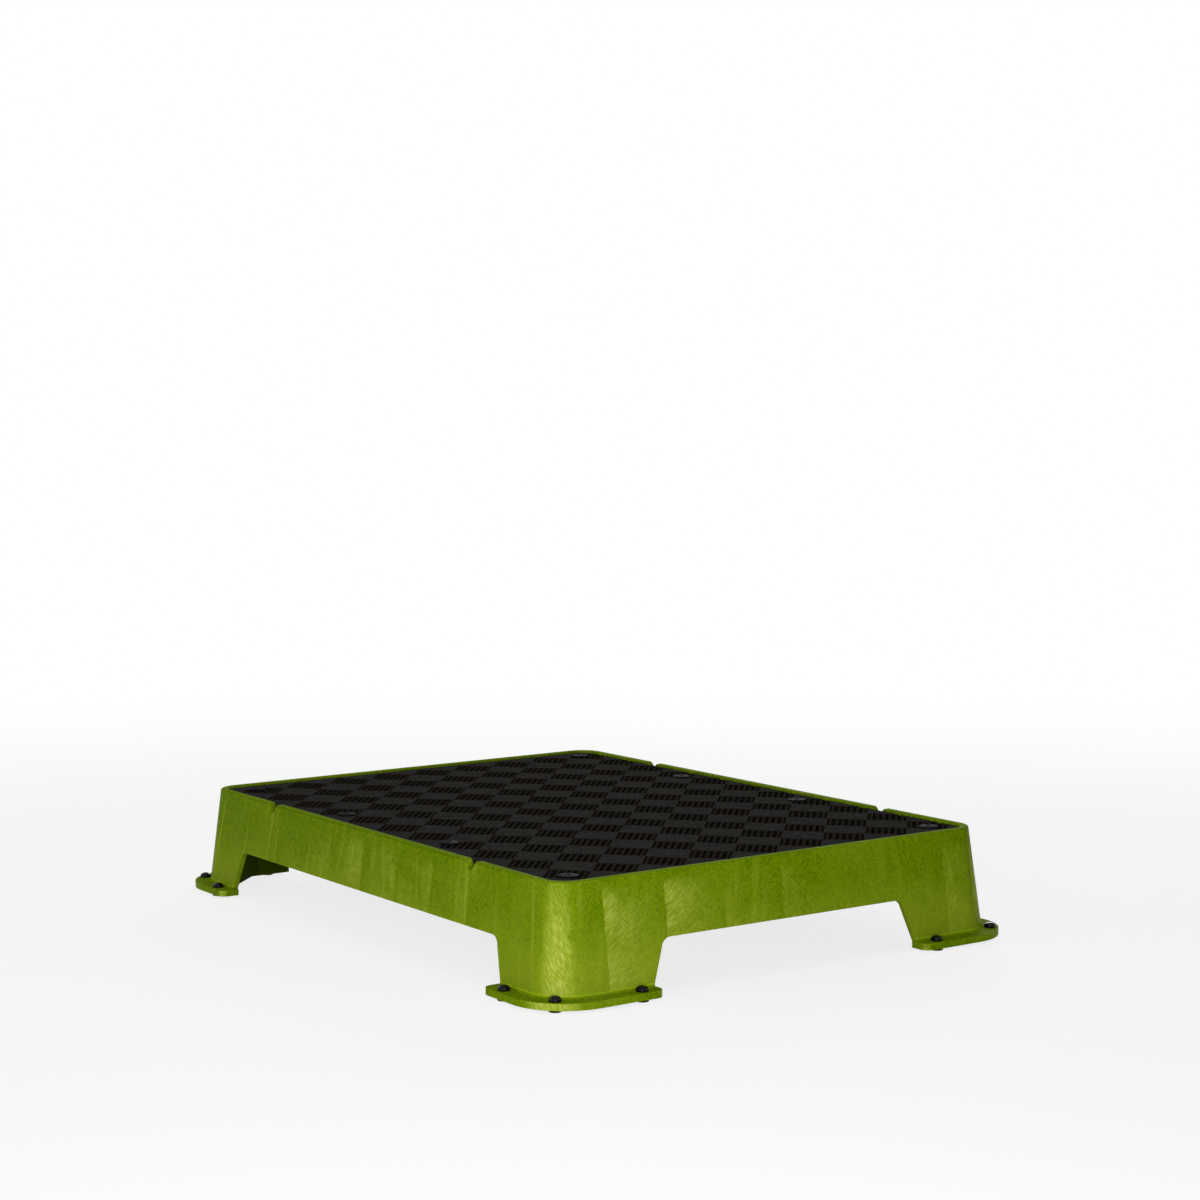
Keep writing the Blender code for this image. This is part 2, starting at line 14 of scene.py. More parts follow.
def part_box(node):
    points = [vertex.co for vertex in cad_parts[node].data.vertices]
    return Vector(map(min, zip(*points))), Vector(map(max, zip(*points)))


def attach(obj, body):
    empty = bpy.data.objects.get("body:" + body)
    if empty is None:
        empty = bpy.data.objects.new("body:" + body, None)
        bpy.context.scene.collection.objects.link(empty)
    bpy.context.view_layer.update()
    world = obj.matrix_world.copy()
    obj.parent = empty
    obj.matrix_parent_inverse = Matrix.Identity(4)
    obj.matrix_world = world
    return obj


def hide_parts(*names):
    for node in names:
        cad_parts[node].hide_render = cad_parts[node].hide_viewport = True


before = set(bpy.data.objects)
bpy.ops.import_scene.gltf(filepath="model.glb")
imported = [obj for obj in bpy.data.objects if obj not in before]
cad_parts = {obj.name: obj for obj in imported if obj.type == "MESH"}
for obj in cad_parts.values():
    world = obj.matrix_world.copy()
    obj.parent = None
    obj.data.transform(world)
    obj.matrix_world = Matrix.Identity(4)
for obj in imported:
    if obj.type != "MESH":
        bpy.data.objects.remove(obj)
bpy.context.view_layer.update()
print("frame loaded")


# Meshes and objects

def meshFrom(bm, name):
    bmesh.ops.recalc_face_normals(bm, faces=bm.faces)
    mesh = bpy.data.meshes.new(name)
    bm.to_mesh(mesh)
    bm.free()
    return mesh


def addObject(name, mesh):
    added = bpy.data.objects.new(name, mesh)
    bpy.context.scene.collection.objects.link(added)
    return added


def removeObject(piece):
    bpy.data.objects.remove(piece, do_unlink=True)


def addModifier(piece, kind, **settings):
    added = piece.modifiers.new(kind, kind)
    for key, value in settings.items():
        setattr(added, key, value)


def frozen(piece):  # the piece as its modifiers make it, as a plain mesh at the origin
    name = piece.name
    evaluated = piece.evaluated_get(bpy.context.evaluated_depsgraph_get())
    mesh = bpy.data.meshes.new_from_object(evaluated)
    mesh.transform(piece.matrix_world)
    made = addObject(name, mesh)
    removeObject(piece)
    made.name = name
    return made


def smoothShade(piece, degrees):
    piece.data.shade_smooth()
    piece.data.set_sharp_from_angle(angle=math.radians(degrees))


# Nodes

def srgb(red, green, blue):  # a colour written as 0 to 255, turned linear for the shader
    linear = []
    for value in (red / 255, green / 255, blue / 255):
        linear.append(value / 12.92 if value <= 0.04045 else ((value + 0.055) / 1.055) ** 2.4)
    return (*linear, 1)


def addNode(tree, kind, inputs=None, **settings):
    added = tree.nodes.new(kind)
    for key, value in settings.items():
        setattr(added, key, value)
    for key, given in (inputs or {}).items():
        for value in given if isinstance(given, list) else [given]:  # a list is linked to one socket
            if isinstance(value, bpy.types.NodeSocket):
                tree.links.new(value, added.inputs[key])
            else:
                added.inputs[key].default_value = value
    return added


def linkedNode(kind, inputs, **settings):  # a node in the tree that its linked inputs come from
    tree = next(value.id_data for value in inputs.values() if isinstance(value, bpy.types.NodeSocket))
    return addNode(tree, kind, inputs, **settings)


def maths(operation, *values):
    return linkedNode("ShaderNodeMath", dict(enumerate(values)), operation=operation).outputs[0]


plus = partial(maths, "ADD")
minus = partial(maths, "SUBTRACT")
timesPlus = partial(maths, "MULTIPLY_ADD")
larger = partial(maths, "MAXIMUM")
unsigned = partial(maths, "ABSOLUTE")


def times(*values):
    product = values[0]
    for value in values[1:]:
        product = maths("MULTIPLY", product, value)
    return product


def vectorOf(x=0.0, y=0.0, z=0.0):
    return linkedNode("ShaderNodeCombineXYZ", {"X": x, "Y": y, "Z": z}).outputs[0]


def partsOf(vector):
    return linkedNode("ShaderNodeSeparateXYZ", {0: vector}).outputs


def vectorMaths(operation, *values):
    return linkedNode("ShaderNodeVectorMath", dict(enumerate(values)), operation=operation).outputs


def mixColour(factor, first, second):
    return linkedNode("ShaderNodeMix", {0: factor, 6: first, 7: second}, data_type="RGBA").outputs[2]


def ramp(value, low, high):  # from 0 at low to 1 at high
    limits = {"Value": value, "From Min": low, "From Max": high}
    return linkedNode("ShaderNodeMapRange", limits, interpolation_type="SMOOTHSTEP").outputs["Result"]


def noise(place, scale, detail, rough=0.5, bend=0.0, kind="3D"):
    inputs = {"Vector": place, "Scale": scale, "Detail": detail, "Roughness": rough, "Distortion": bend}
    return linkedNode("ShaderNodeTexNoise", inputs, noise_dimensions=kind).outputs["Fac"]


def mottled(place, texture, limits):  # a mask from a noise of (scale, detail, roughness)
    return ramp(noise(place, *texture), *limits)


def objectPlace(tree):
    return addNode(tree, "ShaderNodeTexCoord").outputs["Object"]


def newTree(name, kind, inputs, outputs):  # inputs and outputs give each socket's kind
    tree = bpy.data.node_groups.new(name, kind)
    for direction, sockets in (("INPUT", inputs), ("OUTPUT", outputs)):
        for title, sort in sockets.items():
            tree.interface.new_socket(title, in_out=direction, socket_type="NodeSocket" + sort)
    return tree, addNode(tree, "NodeGroupInput").outputs, addNode(tree, "NodeGroupOutput").inputs


def giveOut(result, **values):
    for name, value in values.items():
        value.id_data.links.new(value, result[name])


# Camera, as the photograph was taken

view = {
    "place": (-1.4234, -2.13935, 0.532),
    "heading": math.radians(55.72),  # from +X round to the line of sight
    "down": math.radians(4.48),
    "roll": math.radians(-0.45),
    "frameWidth": 1200,  # pixels
    "focal": 2437.83,  # pixels
    "sensor": 36,
    "farthest": 60,
}


def makeCamera():
    heading, down, roll = view["heading"], view["down"], view["roll"]
    flat = math.cos(down)
    ahead = Vector((math.cos(heading) * flat, math.sin(heading) * flat, -math.sin(down)))
    level = Vector((math.sin(heading), -math.cos(heading), 0))
    upright = level.cross(ahead)
    right = level * math.cos(roll) + upright * math.sin(roll)
    up = upright * math.cos(roll) - level * math.sin(roll)
    lens = bpy.data.cameras.new("camera")
    lens.sensor_width = view["sensor"]
    lens.lens = view["focal"] / view["frameWidth"] * view["sensor"]
    lens.clip_end = view["farthest"]
    camera = addObject("camera", lens)
    turned = Matrix((right, up, -ahead)).transposed()
    camera.matrix_world = Matrix.Translation(view["place"]) @ turned.to_4x4()
    bpy.context.scene.camera = camera


makeCamera()
print("camera placed")


# Sizes of the moulding, which its finish reads too

moulding = {
    "width": 0.508, "length": 0.7035, "height": 0.1118,
    "draft": math.radians(7.5), "wall": 0.006,
    "deckTop": 0.104, "deckBottom": 0.099,
    "rimWidth": 0.008, "rimRadius": 0.027, "rimOuterRound": 0.002, "rimInnerRound": 0.0015,
    "gapHeight": 0.051, "gapRadius": 0.011, "legSlope": math.radians(19.5),
    "frontLeg": 0.0963, "sideLeg": 0.0743,
    "lipBottom": 0.0025, "lipTop": 0.009, "lipReach": 0.017, "frontOverrun": 0.0015, "sideOverrun": 0.0055,
    "lipEndRadius": 0.010, "lipRound": 0.0017, "lipRoot": 0.001, "lipFillet": 0.0035, "lipStep": 0.0006,
    "notchInset": 0.1475, "notchTop": 0.020, "notchFloor": 0.008, "notchDepth": 0.009,
    "notchShoulder": 0.005, "notchFloorRound": 0.003, "notchRunIn": 0.003, "notchSkim": 0.0002,
    "ribThickness": 0.003, "ribDepth": 0.020, "ribs": 8,
    "webThickness": 0.004, "webDistance": 0.048, "webLift": 0.004,
    "bumperHole": 0.0033, "bumperHoleTop": 0.02, "rivetHole": 0.0035, "drillPast": 0.005,
    "cornerSteps": 22, "arcSteps": 8, "holeSteps": 32, "lipSteps": 4, "edgeSteps": 2, "merge": 0.000001,
    "edgeRound": 0.0007, "edgeAngle": math.radians(35), "lipAngle": math.radians(40), "shadeAngle": 40,
}
form = SimpleNamespace(**moulding)  # the same sizes, read as form.width


# Shader groups that more than one finish uses

effects = {  # a range is where a mask starts and where it is full
    "coarseGrain": 0.13, "coarseHeight": 0.6, "grainPatches": (0.35, 0.65),
    "edgeSamples": 6, "edgeBend": (0.995, 0.9), "edgeBreaks": (0.3, 0.7),
    "dustSlope": (0.3, 0.95), "dustClouds": ((26, 6), (0.4, 0.75)), "dustSpecks": ((700, 2), (0.35, 0.75)),
    "lineBend": 0.35, "lines": (0.38, 0.68),
}


def makeGrain():  # fine moulded grain, as a mask and as a height
    inputs = {"Scale": "Float", "Softness": "Float"}
    outputs = {"Mask": "Float", "Height": "Float"}
    tree, given, result = newTree("mouldedGrain", "ShaderNodeTree", inputs, outputs)
    fine = noise(objectPlace(tree), given["Scale"], 3, given["Softness"])
    coarse = noise(objectPlace(tree), times(given["Scale"], effects["coarseGrain"]), 2)
    height = timesPlus(coarse, effects["coarseHeight"], fine)
    giveOut(result, Mask=ramp(coarse, *effects["grainPatches"]), Height=height)
    return tree


def makeEdgeWearAndHighlight():  # a mask along rounded and sharp edges, broken up by noise, for edge wear and for painted highlights along edges
    inputs = {"Width": "Float", "Breakup": "Float"}
    tree, given, result = newTree("edgeWear", "ShaderNodeTree", inputs, {"Mask": "Float"})
    rounded = {"Radius": given["Width"]}
    rounded = linkedNode("ShaderNodeBevel", rounded, samples=effects["edgeSamples"]).outputs[0]
    flat = addNode(tree, "ShaderNodeNewGeometry").outputs["Normal"]
    edge = ramp(vectorMaths("DOT_PRODUCT", rounded, flat)["Value"], *effects["edgeBend"])
    broken = ramp(noise(objectPlace(tree), given["Breakup"], 4), *effects["edgeBreaks"])
    giveOut(result, Mask=times(edge, broken))
    return tree


def makeDust():  # pale dust that settles on what faces up
    tree, given, result = newTree("settledDust", "ShaderNodeTree", {"Amount": "Float"}, {"Mask": "Float"})
    facing = partsOf(addNode(tree, "ShaderNodeTexCoord").outputs["Normal"])
    upward = ramp(facing["Z"], *effects["dustSlope"])
    clouds = mottled(objectPlace(tree), *effects["dustClouds"])
    specks = mottled(objectPlace(tree), *effects["dustSpecks"])
    giveOut(result, Mask=times(clouds, specks, upward, given["Amount"]))
    return tree


wallMasks = {
    "level": 0.7,  # a face that looks up or down more than this counts as level
    "upright": (0.65, 0.25),
    "corner": (0.42, 1.0), "cornerPower": 1.2,
    "flat": (0.93, 0.985),  # walls, without the rounded corners
    "looksIn": (-0.3, -0.5), "looksDown": (-0.5, -0.8), "plumb": 0.06,
    "leeway": 0.0005, "behindWall": 0.002,
    "longWallStart": 0.952,  # whole band spacings, so the long walls' bands change in strength alone
}


def makeWallPlace():  # where a point lies on its wall, and what kind of face it is on
    outputs = dict.fromkeys(("Along", "Up", "Inside", "Upright", "Flat", "Corner", "Long"), "Float")
    outputs["Place"] = "Vector"
    tree, _, result = newTree("wallPlace", "ShaderNodeTree", {}, outputs)
    point = partsOf(objectPlace(tree))
    facing = partsOf(addNode(tree, "ShaderNodeTexCoord").outputs["Normal"])
    faceX = unsigned(facing["X"])
    faceY = unsigned(facing["Y"])
    slope = unsigned(facing["Z"])
    longWall = maths("GREATER_THAN", faceX, faceY)
    shortWall = minus(1.0, longWall)
    level = maths("GREATER_THAN", slope, wallMasks["level"])
    corner = ramp(times(faceX, faceY, 2.0), *wallMasks["corner"])
    corner = maths("POWER", corner, wallMasks["cornerPower"])
    shortWay = times(point["X"], shortWall)
    longWay = times(plus(point["Y"], wallMasks["longWallStart"]), longWall)
    # round the board without a break at the corners; the sides' sign changes only at mid wall
    quarter = maths("SIGN", times(point["X"], point["Y"]))
    sideways = times(point["Y"], quarter)
    around = minus(point["X"], sideways)
    climbing = times(point["Z"], minus(1.0, level))
    crossing = times(plus(point["X"], sideways), level)
    up = plus(climbing, crossing)
    # faces that look inward or down, below the deck's top, and the plumb ribs and webs inside the walls,
    # where the lime finish paints shade
    outwardX = times(maths("SIGN", point["X"]), facing["X"], longWall)
    outwardY = times(maths("SIGN", point["Y"]), facing["Y"], shortWall)
    looksIn = ramp(plus(outwardX, outwardY), *wallMasks["looksIn"])
    looksDown = ramp(facing["Z"], *wallMasks["looksDown"])
    below = maths("LESS_THAN", point["Z"], form.deckTop - wallMasks["leeway"])
    inside = times(larger(looksIn, looksDown), below)
    deep = times(below, maths("LESS_THAN", facing["Z"], wallMasks["plumb"]))
    depth = minus(form.height, point["Z"])
    leaning = timesPlus(depth, math.tan(form.draft), wallMasks["leeway"] - form.wall)
    for axis, size in (("X", form.width), ("Y", form.length)):
        reach = minus(unsigned(point[axis]), size / 2)
        inside = times(inside, maths("LESS_THAN", reach, leaning))
        behind = minus(leaning, wallMasks["behindWall"])
        deep = times(deep, maths("LESS_THAN", reach, behind))
    giveOut(
        result, Along=plus(shortWay, longWay), Up=up, Place=vectorOf(around, up),
        Inside=larger(inside, deep), Upright=ramp(slope, *wallMasks["upright"]),
        Flat=ramp(larger(faceX, faceY), *wallMasks["flat"]), Corner=corner, Long=longWall,
    )
    return tree


def makeHairlines():  # short fine scratches that lie at one angle
    inputs = {"Place": "Vector", "Angle": "Float", "Across": "Float", "Lengthwise": "Float"}
    tree, given, result = newTree("hairlines", "ShaderNodeTree", inputs, {"Lines": "Float"})
    turned = {"Vector": given["Place"], "Angle": given["Angle"]}
    turned = linkedNode("ShaderNodeVectorRotate", turned, rotation_type="Z_AXIS").outputs[0]
    stretch = vectorOf(given["Lengthwise"], given["Across"], 1)
    spread = vectorMaths("MULTIPLY", turned, stretch)[0]
    lines = noise(spread, 1, 3, bend=effects["lineBend"], kind="2D")
    giveOut(result, Lines=ramp(lines, *effects["lines"]))
    return tree


grainGroup = makeGrain()
edgeWearAndHighlightGroup = makeEdgeWearAndHighlight()
dustGroup = makeDust()
wallPlaceGroup = makeWallPlace()
hairlineGroup = makeHairlines()


def useGroup(tree, group, inputs=None):
    return addNode(tree, "ShaderNodeGroup", inputs, node_tree=group).outputs


def startFinish(name, fixed):  # a new finish; fixed values go on the shader's own sockets
    material = bpy.data.materials.new(name)
    material.use_nodes = True
    shader = material.node_tree.nodes["Principled BSDF"]
    for key, value in fixed.items():
        shader.inputs[key].default_value = value
    return material, material.node_tree, shader


def endFinish(shader, colour, rough, height, strength, distance):
    bump = linkedNode("ShaderNodeBump", {"Strength": strength, "Distance": distance, "Height": height})
    for key, value in (("Base Color", colour), ("Roughness", rough), ("Normal", bump.outputs[0])):
        shader.id_data.links.new(value, shader.inputs[key])


# Moulded lime plastic of the board. A noise is (scale, detail, roughness); heights are above the floor

plastic = {
    "deep": srgb(72, 97, 0),
    "main": srgb(101, 130, 0),
    # lighter tone: clouds and streaks, and the painted sheen of the bands and of the lower walls
    "light": srgb(143, 160, 38),
    "pale": srgb(150, 170, 18),  # hairlines, edge wear with painted highlight along the edges, and the painted highlight line along the fillet above the lips
    "rubbed": srgb(155, 170, 42),  # painted highlight along the rounded corners
    "bright": srgb(196, 205, 104),  # hairlines in the painted corner highlight and in the painted sheen of the bands
    "inside": srgb(56, 74, 4),  # painted shade: darker, unbrushed green on faces below the deck that look inward or down, and on the ribs and webs
    "tint": srgb(235, 245, 80), "shine": 0.006, "index": 1.49,
    "rough": 0.24, "roughCuts": 0.08, "roughBands": -0.04, "roughInside": 0.4,
    "bandSpacing": 0.068,  # one brushed band to the next along a wall
    "bandStart": 0.204,
    "bandRhythm": (0.8, 1.2),  # how the strength changes from band to band
    "bandFade": 1.3, "bandShare": 0.85, "longWallLoss": -0.35,
    "waver": 0.004, "waverNoise": (140, 2),
    "patches": ((19, 5, 0.62), (0.34, 0.6)),
    "lowPatches": (0.075, 0.035), "lowPatchShare": 0.75,
    "rimFade": (0.109, 0.09),  # heights over which the bands end below the rim
    "streakScale": (85, 7, 1), "streaks": (0.56, 0.8), "streakShare": 0.25, "longWallStreaks": 0.2,
    "scratchAngles": (0.95, -0.75), "scratchesAcross": 620, "scratchesAlong": 110,
    "scratchShare": 0.2, "bandScratches": 0.34, "rubbedScratches": 0.36,
    "turnNoise": (150, 1), "turns": (0.46, 0.54), "bandTurn": 0.2, "cornerTurn": -0.3,
    "handled": ((38, 4), (0.2, 0.6)), "handledHeights": (0.108, 0.06), "handledLeast": 0.4,
    "rubbedShare": 0.66,
    "flecks": ((430, 3, 0.7), (0.3, 0.62)), "clouds": ((15, 3), (0.42, 0.68)), "cloudShare": 0.2,
    "lowHeights": (0.085, 0.02), "lowShare": 0.4,  # painted sheen, paler towards the feet
    "wear": {"Width": 0.0012, "Breakup": 160}, "wearShare": 0.6,
    "baseLine": (0.0100, 0.0112, 0.0126),  # painted highlight along the fillet where the walls meet the lips
    "grain": {"Scale": 520, "Softness": 0.6}, "cuts": 0.9, "bump": 0.35, "bumpDepth": 0.0002,
}
lime = SimpleNamespace(**plastic)


def makeLimePlastic():
    material, tree, shader = startFinish("limePlastic", {
        "Specular IOR Level": lime.shine, "Specular Tint": lime.tint, "IOR": lime.index,
    })
    wall = useGroup(tree, wallPlaceGroup)
    place = objectPlace(tree)
    # brushed bands, glossier with hairlines, and lighter as painted sheen: each starts sharply and fades
    # along the wall, some stronger than others
    along = timesPlus(noise(place, *lime.waverNoise), lime.waver, wall["Along"])
    steps = maths("DIVIDE", plus(along, lime.bandStart), lime.bandSpacing)
    fade = maths("POWER", minus(1.0, maths("FRACT", steps)), lime.bandFade)
    rhythm = maths("SINE", timesPlus(maths("FLOOR", steps), *lime.bandRhythm))
    chance = timesPlus(rhythm, 0.5, 0.5)
    patches = mottled(place, *lime.patches)
    lowDown = times(ramp(wall["Up"], *lime.lowPatches), lime.lowPatchShare)
    belowRim = ramp(wall["Up"], *lime.rimFade)
    aboveLip = ramp(wall["Up"], form.lipTop, lime.baseLine[1])
    wallShare = timesPlus(wall["Long"], lime.longWallLoss, 1.0)
    band = times(fade, chance, larger(patches, lowDown), wallShare)
    band = times(band, wall["Flat"], belowRim, aboveLip)
    # thin upright streaks
    streakPlace = linkedNode("ShaderNodeMapping", {"Vector": wall["Place"], "Scale": lime.streakScale})
    streaks = ramp(noise(streakPlace.outputs[0], 1, 2, kind="2D"), *lime.streaks)
    streakShare = timesPlus(wall["Long"], lime.longWallStreaks, lime.streakShare)
    # painted highlight down the rounded corners, in patches and weaker near the rim
    handled = mottled(place, *lime.handled)
    least = lime.handledLeast
    cornerHighlightFade = timesPlus(ramp(wall["Up"], *lime.handledHeights), 1 - least, least)
    rubbed = times(wall["Corner"], cornerHighlightFade, handled)
    # hairlines of two directions, one of them in each small place, strongest in the bands
    lines = []
    for angle in lime.scratchAngles:
        lines.append(useGroup(tree, hairlineGroup, {
            "Place": wall["Place"], "Angle": angle,
            "Across": lime.scratchesAcross, "Lengthwise": lime.scratchesAlong,
        })["Lines"])
    turning = timesPlus(wall["Corner"], lime.cornerTurn, noise(place, *lime.turnNoise))
    turning = ramp(timesPlus(band, lime.bandTurn, turning), *lime.turns)
    scratches = timesPlus(minus(lines[1], lines[0]), turning, lines[0])
    scratchShare = timesPlus(band, lime.bandScratches, lime.scratchShare)
    scratchShare = timesPlus(rubbed, lime.rubbedScratches, scratchShare)
    # painted sheen, paler towards the feet, with a painted highlight line along the fillet above the lips
    low = times(ramp(wall["Up"], *lime.lowHeights), wall["Upright"], aboveLip, lime.lowShare)
    first, middle, last = lime.baseLine
    filletHighlight = times(ramp(wall["Up"], first, middle), ramp(wall["Up"], last, middle), wall["Upright"])
    # edge wear, and the light lines that the rim and other edges catch, painted in as highlight
    wear = times(useGroup(tree, edgeWearAndHighlightGroup, lime.wear)["Mask"], lime.wearShare)
    # the colours, laid over one another
    clouds = times(mottled(place, *lime.clouds), lime.cloudShare)
    strokes = mixColour(larger(rubbed, band), lime.pale, lime.bright)
    colour = mixColour(mottled(place, *lime.flecks), lime.deep, lime.main)
    for share, over in (
        (clouds, lime.light),
        (times(streaks, streakShare), lime.light),
        (low, lime.light),
        (times(band, lime.bandShare), lime.light),
        (times(rubbed, lime.rubbedShare), lime.rubbed),
        (times(scratches, scratchShare), strokes),
        (larger(wear, filletHighlight), lime.pale),
        # painted shade on the faces below the deck
        (wall["Inside"], lime.inside),
    ):
        colour = mixColour(share, colour, over)
    matt = larger(wall["Inside"], minus(1.0, wall["Upright"]))
    rough = timesPlus(scratches, lime.roughCuts, lime.rough)
    rough = timesPlus(matt, lime.roughInside, rough)
    rough = timesPlus(band, lime.roughBands, rough)
    grain = useGroup(tree, grainGroup, lime.grain)
    height = plus(times(scratches, wall["Upright"], lime.cuts), grain["Height"])
    endFinish(shader, colour, rough, height, lime.bump, lime.bumpDepth)
    return material


limePlastic = makeLimePlastic()


# Black rubber of the mat: every other diamond is sunk and ribbed

matSizes = {
    "Width": 0.491, "Length": 0.6865, "Thickness": 0.005, "Bottom": 0.1043, "Corner Radius": 0.0185,
    "Pitch Across": 0.0547, "Pitch Along": 0.0614, "Shift Across": 0.0065, "Shift Along": 0.0013,
    "Cells Across": 10, "Cells Along": 12, "Land": 0.0015, "Depth": 0.001,
    "Ribs": 6, "Rib Width": 0.0035, "Rib Round": 0.0009, "Rib End Gap": 0.0009, "Rib Steps": 3,
    "Hole Radius": 0.0035, "Hole Steps": 24, "Corner Steps": 10,
}
matSharpAngle = 35
matMerge = 0.00001

rubber = {
    "main": srgb(53, 53, 52), "dark": srgb(46, 46, 46), "shine": 0.0,
    "brown": srgb(40, 35, 28), "brownShare": 0.9,  # the ribbed diamonds
    "slitShade": srgb(11, 10, 8), "slitShadeShare": 0.85,  # painted shade between the ribs
    "slitShadeHeights": (0.1091, 0.1084), "sideHeights": (0.1070, 0.1075),
    "scuffed": srgb(42, 40, 36), "scuffs": ((34, 5), (0.5, 0.8)), "scuffShare": 0.35,
    "wear": {"Width": 0.0005, "Breakup": 300}, "wearShare": 0.5,
    "dust": srgb(70, 64, 54), "dustAmount": 0.1,
    "grain": {"Scale": 1100, "Softness": 0.7}, "rough": 0.62, "roughGrain": 0.14,
    "bump": 0.4, "bumpDepth": 0.00012,
}


def makeMatRubber():
    material, tree, shader = startFinish("matRubber", {"Specular IOR Level": rubber["shine"]})
    grain = useGroup(tree, grainGroup, rubber["grain"])
    place = objectPlace(tree)
    point = partsOf(place)
    # how far a point lies from the middle of the nearest ribbed diamond, 1 at the diamond's edge
    away = []
    for axis, pitch, shift in (("X", "Pitch Across", "Shift Across"), ("Y", "Pitch Along", "Shift Along")):
        steps = maths("DIVIDE", minus(point[axis], matSizes[shift]), matSizes[pitch])
        middle = minus(maths("FRACT", plus(steps, 0.5)), 0.5)
        away.append(times(unsigned(middle), 2.0))
    ribbed = maths("LESS_THAN", plus(*away), 1.0)
    scuffs = mottled(place, *rubber["scuffs"])
    wear = useGroup(tree, edgeWearAndHighlightGroup, rubber["wear"])["Mask"]
    # painted shade on the pocket floors between the ribs
    slitShadeMask = times(ramp(point["Z"], *rubber["slitShadeHeights"]), rubber["slitShadeShare"])
    colour = mixColour(grain["Mask"], rubber["dark"], rubber["main"])
    for share, over in (
        (times(ribbed, rubber["brownShare"]), "brown"),
        (times(scuffs, rubber["scuffShare"]), "scuffed"),
        # edge wear on the rib and pocket edges, also standing for painted glints on the ribs
        (times(wear, rubber["wearShare"]), "scuffed"),
        (useGroup(tree, dustGroup, {"Amount": rubber["dustAmount"]})["Mask"], "dust"),
        (times(slitShadeMask, ramp(point["Z"], *rubber["sideHeights"])), "slitShade"),
    ):
        colour = mixColour(share, colour, rubber[over])
    rough = timesPlus(grain["Mask"], rubber["roughGrain"], rubber["rough"])
    endFinish(shader, colour, rough, grain["Height"], rubber["bump"], rubber["bumpDepth"])
    return material


matRubber = makeMatRubber()


# Black plastic of the rivets and glossy rubber of the bumpers

blackFinish = {
    "softness": 0.5, "wear": {"Width": 0.0005, "Breakup": 500}, "wearShare": 0.3,
    "roughGrain": 0.08, "roughDust": 0.5, "bump": 0.15, "bumpDepth": 0.00008,
}
rivetLook = {
    "main": srgb(24, 24, 24), "dark": srgb(17, 17, 17), "scuffed": srgb(60, 60, 58),
    "shine": 0.002, "rough": 0.4, "grain": 1500, "dust": 0.06,
}
bumperLook = {
    "main": srgb(10, 10, 10), "dark": srgb(6, 6, 6), "scuffed": srgb(40, 40, 40),
    "shine": 0.1, "rough": 0.12, "grain": 1100, "dust": 0.02,
}


def makeBlackFinish(name, look):
    material, tree, shader = startFinish(name, {"Specular IOR Level": look["shine"]})
    grain = useGroup(tree, grainGroup, {"Scale": look["grain"], "Softness": blackFinish["softness"]})
    wear = useGroup(tree, edgeWearAndHighlightGroup, blackFinish["wear"])["Mask"]
    dust = useGroup(tree, dustGroup, {"Amount": look["dust"]})["Mask"]
    colour = mixColour(grain["Mask"], look["dark"], look["main"])
    # lighter edges: edge wear, and on the rivet heads a painted glint
    colour = mixColour(times(wear, blackFinish["wearShare"]), colour, look["scuffed"])
    colour = mixColour(dust, colour, rubber["dust"])
    rough = timesPlus(grain["Mask"], blackFinish["roughGrain"], look["rough"])
    rough = timesPlus(dust, blackFinish["roughDust"], rough)
    endFinish(shader, colour, rough, grain["Height"], blackFinish["bump"], blackFinish["bumpDepth"])
    return material


rivetPlastic = makeBlackFinish("rivetPlastic", rivetLook)
bumperRubber = makeBlackFinish("bumperRubber", bumperLook)
print("finishes made")


# The moulding: one shell with deck, rim, walls, feet, ribs and webs

corners = [(-1, -1), (1, -1), (-1, 1), (1, 1)]


def outerOffset(z):  # how far the wall's outer face stands out from the rim at height z
    return (form.height - z) * math.tan(form.draft)


def innerOffset(z):
    return outerOffset(z) - form.wall / math.cos(form.draft)


def middleOffset(z):
    return (outerOffset(z) + innerOffset(z)) / 2


def fromCorner(signs, inwardX, inwardY):
    return (signs[0] * (form.width / 2 - inwardX), signs[1] * (form.length / 2 - inwardY))


def roundedOutline(cornerList, steps):  # corners are (x, y, radius)
    outline = []
    for index, (x, y, radius) in enumerate(cornerList):
        corner = Vector((x, y))
        if radius == 0:
            outline.append(corner)
            continue
        following = cornerList[(index + 1) % len(cornerList)]
        back = (Vector(cornerList[index - 1][:2]) - corner).normalized()
        ahead = (Vector(following[:2]) - corner).normalized()
        halfAngle = back.angle(ahead) / 2
        centre = corner + (back + ahead).normalized() * radius / math.sin(halfAngle)
        start = corner + back * radius / math.tan(halfAngle) - centre
        sweep = math.copysign(math.pi - 2 * halfAngle, -back.cross(ahead))
        for step in range(steps + 1):
            angle = sweep * step / steps
            turnedX = start.x * math.cos(angle) - start.y * math.sin(angle)
            turnedY = start.x * math.sin(angle) + start.y * math.cos(angle)
            outline.append(centre + Vector((turnedX, turnedY)))
    return outline


def prism(name, outlines, depth):  # outlines in the XY plane, extruded half the depth up and down
    curve = bpy.data.curves.new(name, "CURVE")
    curve.dimensions = "2D"
    curve.fill_mode = "BOTH"
    curve.extrude = depth / 2
    for outline in outlines:
        spline = curve.splines.new("POLY")
        spline.points.add(len(outline) - 1)
        for point, (x, y) in zip(spline.points, outline):
            point.co = (x, y, 0, 1)
        spline.use_cyclic_u = True
    drawn = addObject(name, curve)
    filled = bpy.data.meshes.new_from_object(drawn.evaluated_get(bpy.context.evaluated_depsgraph_get()))
    removeObject(drawn)
    bm = bmesh.new()
    bm.from_mesh(filled)
    bmesh.ops.remove_doubles(bm, verts=bm.verts, dist=form.merge)
    return addObject(name, meshFrom(bm, name))


